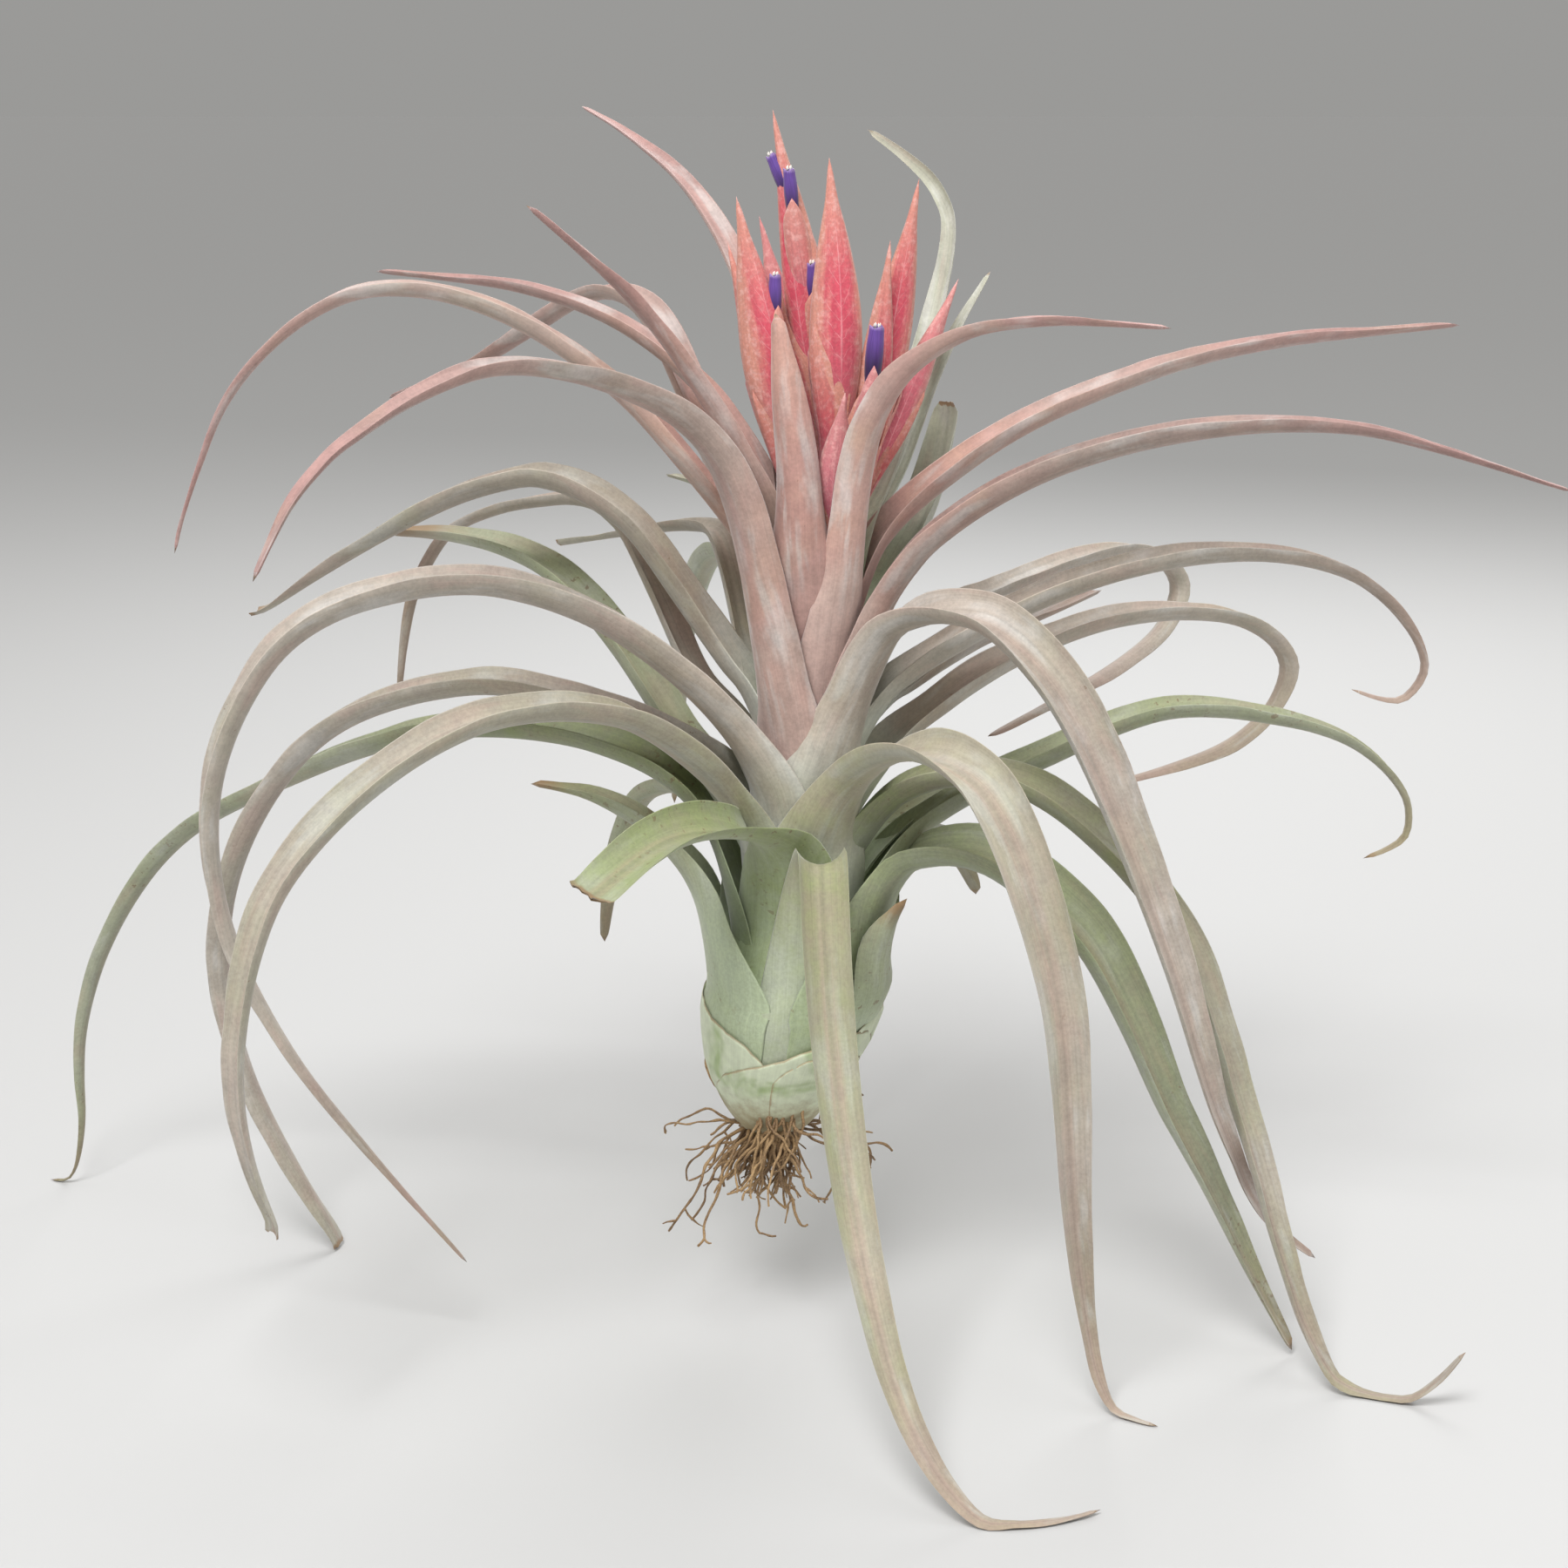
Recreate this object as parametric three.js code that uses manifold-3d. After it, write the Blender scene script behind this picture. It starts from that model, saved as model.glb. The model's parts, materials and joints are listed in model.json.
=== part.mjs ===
// A tropical air plant in flower: a leafy stem swollen at the foot into a bulb, about forty long channelled
// leaves, a head of flattened bract spikes with five violet flowers, and a tuft of wiry roots.
// Millimetres, +Z up. The plant is as picked and stands on the tips of its drooping leaves.
// A direction is an angle in degrees round the stem: 0 is right, 90 back, 180 left and 270 front.
import * as THREE from 'three';
import { mergeVertices } from 'three/addons/utils/BufferGeometryUtils.js';
import Module from 'manifold-3d';

const wasm = await Module();
wasm.setup();

// Driving dimensions
const GAP = 0.35;              // kept between pieces that touch
const BLADE = 0.9;             // thickness of a leaf blade
const LEAF_STEP = 14;          // length of one stretch of a leaf blade
const FLOOR_FILM = 0.75;       // least height of a blade's upper face where it lies flat
const FLAT_UNDER = 14;         // a channel flattens out below this height
const NARROW_FOOT = 0.62;      // share of a blade's width that is left between its neighbours at its foot
const SHALLOW_FOOT = 0.3;      // share of a channel's depth that is left there
const POINT = 0.04;            // share of a blade's width that is left just short of its tip
const TORN_POINT = 1.5;        // how far the middle of a torn end stands out past its sides
const STEM_SIDES = 32;
const STEM_STEP = 6.5;         // height of one ring of the stem
const SHEATH_LIFT = 1.4;       // how far the outermost leaf's sheath stands off the stem
const SHEATH_LENGTH = 40;      // how far a sheath reaches down from the foot of its blade
const SHEATH_COLLAR = 6;       // and how far up
const BRACT_EDGE = 0.9;        // least half depth of a folded bract
const BRACT_DEPTH = 0.26;      // its half depth where the spike is widest, as a share of the spike's width
const FLOWER_SIDES = 9;
const STAMEN = { radius: 0.3, length: 6, shown: 1.8 };
const CROWN_RADIUS = 5;        // the woody knot that the roots spring from
const CROWN_FLATNESS = 0.45;
const ROOT_RADIUS = 0.65;
const ROOT_COUNT = 18;
const ROOT_STOPS = 6;          // stretches of one root
const ROOT_KINK = 3.2;         // how far a root's bends stray from its line
const LONG_ROOT_EVERY = 5;     // each fifth root runs out sideways

// Stem and bulb by height: [height, radius, how far right of the plant's axis the middle lies]
const STEM_PROFILE = [
  [52, 9, -9.5], [56, 12.5, -9.3], [63, 16, -8.5], [71, 19.3, -7], [82, 22.3, -4.5],
  [90, 21.6, -4], [98, 18.5, -3], [110, 14.5, -2], [124, 11.5, -1], [150, 10.5, 0],
  [190, 9.5, 2], [212, 8, 3.5], [220, 5.5, 4], [225, 2.5, 4.5],
];
const STEM_FOOT = STEM_PROFILE[0][0];
const STEM_TOP = STEM_PROFILE.at(-1)[0];

// Every leaf: the direction in which it leaves the stem, the height of its foot there, its width, and the
// rest of its midrib as [reach, height, turn], where reach is measured from the plant's axis and turn is
// added to the direction. end says how much of the full width is left at a torn or cut end, fold is the
// depth of its channel as a share of its width, roll turns the blade about its midrib beyond its foot, and
// the lower taper is, the sooner the blade narrows.
const LEAVES = {
  leaf_left_01: {
    from: 118, foot: 211, width: 8,
    path: [[17, 246, 4], [30, 271, 8], [52, 290, 8], [84, 304, 8], [103, 309, 8]],
  },
  leaf_left_02: {
    from: 202, foot: 206, width: 10,
    path: [[17, 228, -5], [29, 248, -9], [44, 267, -9], [68, 287, -9]],
  },
  leaf_left_03: {
    from: 152, foot: 204, width: 9,
    path: [[20, 233, 4], [42, 253, 6], [73, 265, 6], [120, 268, 6]],
  },
  leaf_left_04: {
    from: 177, foot: 190, width: 11,
    path: [[22, 215, 1], [49, 246, 3], [82, 265, 4], [111, 266, 4], [138, 246, 4], [153, 215, 4],
      [156, 203, 4]],
  },
  leaf_left_05: {
    from: 241, foot: 150, width: 14,
    path: [[14.5, 172, -6], [17.5, 203, -20], [28, 230, -23], [48, 245, -24], [89, 254, -24],
      [126, 240, -24], [140, 228, -24], [149, 212, -24]],
  },
  leaf_left_06: {
    from: 141, foot: 187, width: 12,
    path: [[29, 223], [42, 246], [53, 260], [65, 264], [80, 260], [114, 242], [150, 230]],
  },
  leaf_left_07: {
    from: 168, foot: 160, width: 14, end: 0.5,
    path: [[21, 175], [42, 206], [57, 217], [74, 220], [109, 206], [146, 182]],
  },
  leaf_left_08: {
    from: 147, foot: 144, width: 9,
    path: [[34, 168], [54, 202], [65, 210], [80, 210], [114, 199], [130, 179], [136, 148]],
  },
  leaf_left_09: {
    from: 153, foot: 128, width: 13, end: 0.8,
    path: [[35, 151], [53, 174], [75, 193], [104, 200], [125, 199]],
  },
  leaf_left_10: {
    from: 225, foot: 132, width: 15,
    path: [[15.5, 147, -9], [25, 165, -22], [40, 181, -26], [60, 194, -27], [88, 201, -28],
      [126, 191, -29], [146, 160, -30], [148, 125, -31], [135, 87, -32], [106, 42, -33], [90, 21, -33]],
  },
  leaf_left_11: {
    from: 177, foot: 138, width: 13, end: 0.5,
    path: [[33, 154, -2], [60, 165, -3], [86, 168, -4], [126, 154, -6], [152, 122, -7], [163, 84, -9],
      [156, 44, -10], [136, 2, -12]],
  },
  leaf_left_12: {
    from: 202, foot: 122, width: 14, end: 0.5,
    path: [[19, 137, 2], [35, 157, 10], [56, 170, 11], [90, 173, 11], [122, 160, 11], [145, 138, 11],
      [155, 105, 11], [154, 78, 11], [148, 59, 11]],
  },
  leaf_left_13: {
    from: 160, foot: 113, width: 14,
    path: [[33, 139], [60, 151], [105, 150], [154, 131], [189, 110], [214, 77], [225, 46], [227, 18],
      [232, 1.5], [239, -0.5]],
  },
  leaf_left_14: { from: 184, foot: 99, width: 14, path: [[28, 120], [40, 134], [56, 143], [70, 145]] },
  leaf_left_15: {
    from: 246, foot: 116, width: 14, end: 0.8, roll: 20,
    path: [[18, 133, -3], [29, 140, -9], [50, 144, -12], [68, 142, -12], [85, 136, -12]],
  },
  leaf_left_16: {
    from: 108, foot: 166, width: 8,
    path: [[27, 180, 1], [47, 199, 4], [64, 208, 4], [80, 210, 4], [105, 208, 4]],
  },
  leaf_left_17: {
    from: 134, foot: 155, width: 9,
    path: [[17, 166], [25, 184, -1], [37, 204, -4], [57, 203, -4], [106, 191, -4]],
  },
  leaf_right_01: {
    from: -52, foot: 180, width: 11,
    path: [[13.8, 197], [15.8, 213], [20, 233, 2], [27, 246, 6], [35, 254, 12], [46, 260, 20],
      [64, 262, 27], [88, 260, 32]],
  },
  leaf_right_02: {
    from: 16, foot: 194, width: 12,
    path: [[23, 211], [49, 230], [82, 243], [117, 251], [176, 254]],
  },
  leaf_right_03: {
    from: -27, foot: 164, width: 14,
    path: [[15.5, 180, 8], [19, 193, 18], [30, 208, 18], [59, 226, 18], [98, 236, 18], [133, 236, 18],
      [166, 227, 18], [181, 222, 18]],
  },
  leaf_right_04: {
    from: -78, foot: 138, width: 15, roll: -25,
    path: [[14.5, 153, 14], [16.5, 169, 31], [24, 187, 39], [35, 193, 42], [52, 192, 44], [70, 174, 48],
      [85, 141, 52], [98, 106, 54], [106, 76, 57], [111, 56, 62], [118, 36, 67], [132, 22, 70]],
  },
  leaf_right_05: {
    from: -27, foot: 99, width: 14, roll: -15,
    path: [[26, 126, 1], [39, 131, 3], [52, 128, 5], [74, 109, 8], [93, 70, 10], [104, 49, 11],
      [114, 27, 13], [127, 1.2, 14]],
  },
  leaf_right_06: {
    from: -14, foot: 130, width: 14, roll: -20,
    path: [[30, 146], [50, 149], [71, 137, 2], [96, 107, 4], [111, 68, 2], [118, 50, -1], [125, 32, -4],
      [138, 5, -6], [147, 0.4, -6], [158, 0.4, -6], [170, 16, -6]],
  },
  leaf_right_07: {
    from: 1.5, foot: 112, width: 13,
    path: [[30, 135], [61, 152], [90, 163], [117, 161], [138, 154], [152, 140], [153, 128], [142, 123]],
  },
  leaf_right_08: {
    from: 23, foot: 142, width: 12,
    path: [[37, 162], [56, 172], [86, 180], [118, 179], [135, 172], [142, 162], [137, 150], [122, 140],
      [84, 134]],
  },
  leaf_right_09: {
    from: 4, foot: 157, width: 13,
    path: [[26, 173], [52, 189], [81, 199], [112, 202], [137, 196], [152, 183], [157, 171], [151, 162],
      [138, 166]],
  },
  leaf_right_10: {
    from: 47, foot: 172, width: 10,
    path: [[26, 178], [50, 181], [84, 185], [124, 188], [150, 183], [161, 172], [152, 160], [124, 151],
      [72, 143]],
  },
  leaf_right_11: { from: 37, foot: 158, width: 9, path: [[31, 166], [55, 174], [76, 178], [100, 182]] },
  leaf_right_12: { from: 29, foot: 124, width: 10, path: [[30, 132], [50, 136], [68, 136], [82, 130]] },
  leaf_right_13: { from: -44, foot: 87, width: 12, path: [[23, 103], [26, 113, 4], [30, 119, 8]] },
  leaf_front_01: {
    from: 257, foot: 187, width: 13,
    path: [[13, 204, 1], [14, 225, -1], [15.5, 245, -10], [15, 262, -21]],
  },
  leaf_front_02: {
    from: -84, foot: 121, width: 14, roll: -25,
    path: [[16.5, 136, 10], [22, 149, 21], [35, 160, 25], [52, 164, 27], [70, 158, 29], [82, 136, 32],
      [89, 105, 35], [90, 60, 38], [89, 20, 44], [95, 0.4, 45], [107, 0.2, 46]],
  },
  leaf_front_03: {
    from: -86, foot: 104, width: 12, fold: 0.28,
    path: [[23, 128, 1], [32, 133, 1], [41, 118, 1], [50, 94, 2], [65, 65, 4], [84, 40, 6], [103, 18, 9],
      [117, 1.5, 15], [122, 0.6, 22], [124, 1, 28]],
  },
  leaf_back_01: {
    from: 50, foot: 200, width: 11, taper: 1.3,
    path: [[26, 217], [46, 240, 4], [60, 262, 6], [69, 280, 8], [73, 291, 14], [76, 303, 28]],
  },
  leaf_back_02: {
    from: 74, foot: 176, width: 7,
    path: [[28, 196, -6], [50, 218, -12], [61, 239, -16], [69, 256, -20], [78, 267, -22]],
  },
  leaf_back_03: {
    from: 42, foot: 186, width: 13, end: 0.7,
    path: [[25, 194], [35, 207, -2], [42, 220, -2], [46, 235, -2]],
  },
  leaf_back_04: {
    from: 84, foot: 118, width: 12,
    path: [[32, 144], [60, 158], [90, 150], [112, 122], [122, 85], [122, 42], [119, 12], [122, 0.4],
      [132, 0.2]],
  },
  leaf_back_05: {
    from: 106, foot: 138, width: 12,
    path: [[32, 170], [62, 190], [98, 186], [128, 160], [142, 124], [146, 100]],
  },
  leaf_back_06: {
    from: 82, foot: 157, width: 11,
    path: [[34, 188], [66, 204], [104, 202], [136, 180], [152, 158]],
  },
  leaf_back_07: {
    from: 122, foot: 102, width: 12,
    path: [[34, 124], [60, 130], [88, 120], [106, 94], [112, 70]],
  },
  leaf_back_08: { from: 98, foot: 186, width: 10, path: [[24, 214], [44, 236], [72, 246], [104, 243]] },
  leaf_back_09: { from: 58, foot: 98, width: 12, path: [[32, 114], [54, 119], [76, 110], [92, 90]] },
};

// Every spike of bracts: foot and tip as [right, back, height], its width, its number of bracts and the
// direction that its broad side faces. The feet lie in the stem's top, which the spikes are cut to fit.
const SPIKES = {
  spike_01: { foot: [4.2, 2.6, 219], tip: [-8.7, 4, 307], width: 10, bracts: 5, face: 270, bow: 1.5 },
  spike_02: { foot: [4.8, -3.4, 216], tip: [4.4, -4, 296], width: 12.5, bracts: 5, face: 270, bow: 1.5 },
  spike_03: { foot: [-2.6, -3.2, 211], tip: [-17.4, -2, 287], width: 12.5, bracts: 5, face: 262, bow: 0 },
  spike_04: { foot: [1, 5, 213], tip: [-12, 10, 282], width: 9.5, bracts: 4, face: 275, bow: 1 },
  spike_05: { foot: [9.6, 3, 212], tip: [25.7, 3.4, 291], width: 10.5, bracts: 5, face: 285, bow: 1 },
  spike_06: { foot: [11.8, -1.2, 212], tip: [18.8, -3, 277], width: 8, bracts: 4, face: 280, bow: 0 },
  spike_07: { foot: [8, -5.6, 208], tip: [15, -8, 249], width: 9.5, bracts: 3, face: 278, bow: 0 },
  spike_08: { foot: [4, -7.4, 207], tip: [8, -13.4, 242], width: 8, bracts: 3, face: 268, bow: 0 },
  spike_09: { foot: [10, 6.6, 209], tip: [35.8, 12.8, 267], width: 9, bracts: 4, face: 300, bow: 0 },
  spike_10: { foot: [-2.6, 2.6, 211], tip: [-19.5, 5, 276], width: 9.5, bracts: 4, face: 225, bow: 0 },
};

// Every flower: the spike that bears it, its foot and rim as [right, back, height], and its radius
const FLOWERS = {
  flower_01: { spike: 'spike_01', foot: [-9.4, 4, 286], rim: [-10.4, 4, 298.5], radius: 1.7 },
  flower_02: { spike: 'spike_01', foot: [-4, 0.6, 283], rim: [-5.2, -0.6, 295.5], radius: 1.9 },
  flower_03: { spike: 'spike_01', foot: [1.2, 1.6, 262], rim: [0.4, 0.8, 273.5], radius: 1.6 },
  flower_04: { spike: 'spike_03', foot: [-7.4, -2.8, 258], rim: [-8.2, -3.4, 271], radius: 1.9 },
  flower_05: { spike: 'spike_07', foot: [14.6, -9.4, 240], rim: [15.6, -10.2, 256.5], radius: 2.5 },
};

const COLOURS = { leaf: 0xa8a49a, spike: 0xd9737a, flower: 0x54307f, stem: 0xb9c7ae, roots: 0x8f765c };

const radians = (degrees) => degrees * Math.PI / 180;
const mix = (a, b, share) => a + (b - a) * share;
const smooth = (low, high, value) => {
  const share = Math.min(1, Math.max(0, (value - low) / (high - low)));
  return share * share * (3 - 2 * share);
};

// A random draw that is the same on each run
function seeded(seed) {
  let state = seed;
  return () => {
    state = (state * 16807) % 2147483647;
    return state / 2147483647;
  };
}

// Turns rings of points into a closed skin. A ring of one point closes an end to a tip, and others get a flat
// cap. The faces in crossed are split along their other diagonal, so that both sides of a thin blade are
// split alike.
function skin(rings, crossed = []) {
  const starts = [0];
  for (const ring of rings) starts.push(starts.at(-1) + ring.length);
  const faces = [];
  for (let i = 0; i + 1 < rings.length; i++) {
    const [here, there] = [starts[i], starts[i + 1]];
    const size = Math.max(rings[i].length, rings[i + 1].length);
    for (let j = 0; j < size; j++) {
      const next = (j + 1) % size;
      if (rings[i + 1].length === 1) faces.push([here + j, here + next, there]);
      else if (crossed.includes(j)) {
        faces.push([here + j, here + next, there + j], [here + next, there + next, there + j]);
      } else faces.push([here + j, here + next, there + next], [here + j, there + next, there + j]);
    }
  }
  for (let j = 1; j + 1 < rings[0].length; j++) faces.push([0, j + 1, j]);
  const last = starts[rings.length - 1];
  for (let j = 1; j + 1 < rings.at(-1).length; j++) faces.push([last, last + j, last + j + 1]);
  return outward(rings.flat(), faces);
}

// An indexed geometry whose faces point outwards
function outward(points, faces) {
  let volume = 0;
  for (const [a, b, c] of faces) {
    volume += points[a].dot(new THREE.Vector3().crossVectors(points[b], points[c]));
  }
  const geometry = new THREE.BufferGeometry();
  const corners = points.flatMap((point) => [point.x, point.y, point.z]);
  geometry.setAttribute('position', new THREE.Float32BufferAttribute(corners, 3));
  geometry.setIndex(faces.flatMap(([a, b, c]) => (volume < 0 ? [a, c, b] : [a, b, c])));
  return geometry;
}

function toSolid(geometry) {
  const bare = geometry.clone();
  bare.deleteAttribute('normal');
  bare.deleteAttribute('uv');
  const merged = mergeVertices(bare, 1e-4);
  return new wasm.Manifold(new wasm.Mesh({
    numProp: 3,
    vertProperties: new Float32Array(merged.attributes.position.array),
    triVerts: new Uint32Array(merged.index.array),
  }));
}

function fromSolid(solid) {
  const mesh = solid.getMesh();
  const geometry = new THREE.BufferGeometry();
  const corners = [];
  for (let i = 0; i < mesh.vertProperties.length; i += mesh.numProp) {
    corners.push(mesh.vertProperties[i], mesh.vertProperties[i + 1], mesh.vertProperties[i + 2]);
  }
  geometry.setAttribute('position', new THREE.Float32BufferAttribute(corners, 3));
  geometry.setIndex([...mesh.triVerts]);
  return geometry;
}

// Stem and bulb. The stem is clad in the sheaths of its leaves, which stand off it.
function stemAt(height) {
  const rows = STEM_PROFILE;
  const level = Math.min(STEM_TOP - 0.01, Math.max(STEM_FOOT, height));
  const row = rows.findIndex(([top]) => top > level);
  const share = (level - rows[row - 1][0]) / (rows[row][0] - rows[row - 1][0]);
  const [radius, middle] = [1, 2].map((column) => mix(rows[row - 1][column], rows[row][column], share));
  return { radius, middle };
}

// A sheath is widest low down. The lower its blade leaves the stem, the further out its sheath lies.
const SHEATHS = Object.values(LEAVES)
  .map(({ from, width, foot }) => ({ from, width, top: foot }))
  .sort((a, b) => b.top - a.top)
  .map((leaf, order, all) => ({ ...leaf, lift: SHEATH_LIFT * (0.4 + 0.6 * order / (all.length - 1)) }));

function sheathLift(direction, height) {
  let lift = 0;
  for (const sheath of SHEATHS) {
    const up = (height - sheath.top + SHEATH_LENGTH) / (SHEATH_LENGTH + SHEATH_COLLAR);
    if (up <= 0 || up >= 1) continue;
    const wide = sheath.width * mix(1.1, 0.75, up) * Math.sqrt(Math.min(1, up * 4));
    const half = wide / stemAt(height).radius * 180 / Math.PI;
    const off = Math.abs(((direction - sheath.from) % 360 + 540) % 360 - 180);
    lift = Math.max(lift, sheath.lift * (1 - smooth(0.8 * half, half, off)));
  }
  return lift;
}

function stemGeometry(grown = 0) {
  const rows = Math.round((STEM_TOP - STEM_FOOT) / STEM_STEP);
  const rings = [];
  for (let i = 0; i <= rows; i++) {
    const height = mix(STEM_FOOT, STEM_TOP, i / rows);
    const level = i === rows ? height + grown : height;
    const { radius, middle } = stemAt(height);
    const ring = [];
    for (let j = 0; j < STEM_SIDES; j++) {
      const direction = 360 * j / STEM_SIDES;
      const away = radius + sheathLift(direction, height) + grown;
      const [right, back] = [Math.cos(radians(direction)), Math.sin(radians(direction))];
      ring.push(new THREE.Vector3(middle + away * right, away * back, level));
    }
    rings.push(ring);
  }
  return skin(rings);
}

// Leaves. A blade is a channel that follows its midrib.
function midribPoint([reach, height, turn = 0], from) {
  const angle = radians(from + turn);
  return new THREE.Vector3(reach * Math.cos(angle), reach * Math.sin(angle), height);
}

// The reach of the stem's surface, sheaths and all, in a direction from the plant's axis
function stemReach(direction, height) {
  const { radius, middle } = stemAt(height);
  return radius + sheathLift(direction, height) + middle * Math.cos(radians(direction));
}

function turnAt(path, share) {
  const place = share * (path.length - 1);
  const stop = Math.min(path.length - 2, Math.floor(place));
  return mix(path[stop][2] ?? 0, path[stop + 1][2] ?? 0, place - stop);
}

// Half width of a blade, as a share of its full half width, from its foot (0) to its tip (1)
function bladeShare(along, end, taper) {
  return mix(NARROW_FOOT, 1, smooth(0, 0.16, along)) * mix(1, end || POINT, Math.pow(along, taper));
}

// Keeps a point of a blade off the stem and above the surface that the plant stands on
function bentClear(point, upper) {
  const { radius, middle } = stemAt(point.z);
  const away = Math.hypot(point.x - middle, point.y);
  const direction = Math.atan2(point.y, point.x - middle) * 180 / Math.PI;
  const least = radius + sheathLift(direction, point.z) + GAP + (upper ? 0 : BLADE);
  if (point.z < STEM_TOP && point.z > STEM_FOOT && away < least) {
    point.x = middle + (point.x - middle) * least / away;
    point.y *= least / away;
  }
  point.z = Math.max(point.z, upper ? FLOOR_FILM : 0);
  return point;
}

function leafGeometry({ from, foot, width, path, end = 0, fold = 0.42, roll = 0, taper = 2.4 }) {
  const stops = [[stemReach(from, foot) + GAP, foot], ...path];
  const points = stops.map((stop) => midribPoint(stop, from));
  const midrib = new THREE.CatmullRomCurve3(points, false, 'centripetal');
  const length = midrib.getLength();
  const steps = Math.max(Math.round(length / LEAF_STEP), 2 * path.length);
  const rings = [];
  let gone = 0;
  for (let i = 0; i < (end ? steps + 1 : steps); i++) {
    const centre = midrib.getPoint(i / steps);
    if (i > 0) gone += centre.distanceTo(midrib.getPoint((i - 1) / steps));
    const along = Math.min(1, gone / length);
    const tangent = midrib.getTangent(i / steps);
    const direction = radians(from + turnAt(stops, i / steps));
    const flat = new THREE.Vector3(-Math.sin(direction), Math.cos(direction), 0);
    const up = new THREE.Vector3().crossVectors(tangent, flat).normalize();
    const across = new THREE.Vector3().crossVectors(up, tangent);
    const twist = radians(roll) * smooth(0.1, 0.45, along);
    up.applyAxisAngle(tangent, -twist);
    across.applyAxisAngle(tangent, -twist);
    const half = width / 2 * bladeShare(along, end, taper);
    const depth = 2 * half * fold * (1 - 0.6 * Math.pow(along, 4)) * smooth(0, FLAT_UNDER, centre.z)
      * mix(SHALLOW_FOOT, 1, smooth(0, 0.2, along));
    const thick = BLADE * mix(1, 0.8, along) * Math.hypot(1, depth / half);
    const place = (side, lift, upper) => bentClear(
      centre.clone().addScaledVector(across, side).addScaledVector(up, lift), upper);
    const rim = depth / 2;
    rings.push([
      place(0, -rim, true), place(half, rim, true), place(half, rim - thick, false),
      place(0, -rim - thick, false), place(-half, rim - thick, false), place(-half, rim, true),
    ]);
  }
  const tip = midrib.getPoint(1).addScaledVector(midrib.getTangent(1), end ? TORN_POINT : 0);
  rings.push([bentClear(tip, false)]);
  return skin(rings, [2, 3]);
}

// Spikes. Folded bracts stand in two rows, keel outwards, each with its tip on the edge of the spike.
const vector = ([right, back, height]) => new THREE.Vector3(right, back, height);

// Half width of a spike, as a share of its full half width, from its foot (0) to its tip (1)
function spikeShare(along) {
  return Math.max(0.25 * (1 - along), smooth(0, 0.35, along) * Math.sin(Math.PI * (1 - along) ** 1.1));
}

function spikeSolid({ foot, tip, width, bracts, face, bow }) {
  const start = vector(foot);
  const axis = vector(tip).sub(start);
  const thin = new THREE.Vector3(Math.cos(radians(face)), Math.sin(radians(face)), 0);
  const wide = new THREE.Vector3().crossVectors(axis, thin).normalize();
  thin.crossVectors(wide, axis).normalize();
  const at = (along, side, front) => start.clone().addScaledVector(axis, along)
    .addScaledVector(wide, side + bow * 4 * along * (1 - along)).addScaledVector(thin, front);
  const solids = [];
  for (let k = 0; k < bracts; k++) {
    const side = k % 2 ? 1 : -1;
    const first = 0.5 * k / (bracts - 1);
    const last = mix(0.55, 1, k / (bracts - 1));
    const rings = [0, 0.4, 0.78].map((share) => {
      const along = mix(first, last, share);
      const half = Math.max(1.1, width / 2 * spikeShare(along));
      const margin = -side * half * (k === bracts - 1 ? 0.9 : mix(0.85, -0.3, smooth(0.35, 1, share)));
      const thick = Math.max(BRACT_EDGE, BRACT_DEPTH * width * spikeShare(along) * mix(1, 0.6, share));
      return [at(along, side * half, 0), at(along, margin, thick), at(along, margin, -thick)];
    });
    const tipSide = k === bracts - 1 ? 0 : side * width / 2 * spikeShare(last);
    rings.push([at(last, tipSide, 0)]);
    solids.push(toSolid(skin(rings)));
  }
  return wasm.Manifold.union(solids);
}

// Flowers. Three petals are rolled into a tube, from whose rim the stamens stand.
function flowerGeometry({ foot, rim, radius }, grown = 0) {
  const start = vector(foot);
  const axis = vector(rim).sub(start);
  const length = axis.length();
  const top = length + STAMEN.shown + grown;
  const outline = grown
    ? [[0, -grown], [0.6 * radius + grown, -grown], [radius + grown, 0.3 * length],
      [radius + grown, top], [0, top]]
    : [[0, 0], [0.6 * radius, 0], [0.94 * radius, 0.3 * length], [radius, length],
      [0.72 * radius, length + 0.3], [0.6 * radius, length - 2.5], [0, length - 3]];
  const tube = new THREE.LatheGeometry(outline.map(([x, y]) => new THREE.Vector2(x, y)), FLOWER_SIDES);
  let solid = toSolid(tube);
  if (!grown) {
    for (let i = 0; i < 3; i++) {
      const turn = radians(120 * i + 20);
      const off = 0.3 * radius;
      const stamen = new THREE.CylinderGeometry(STAMEN.radius, STAMEN.radius, STAMEN.length, 3);
      stamen.translate(off * Math.cos(turn), top - STAMEN.length / 2, off * Math.sin(turn));
      solid = solid.add(toSolid(stamen));
    }
  }
  const geometry = fromSolid(solid);
  const turn = new THREE.Quaternion().setFromUnitVectors(new THREE.Vector3(0, 1, 0), axis.normalize());
  return geometry.applyQuaternion(turn).translate(start.x, start.y, start.z);
}

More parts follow.
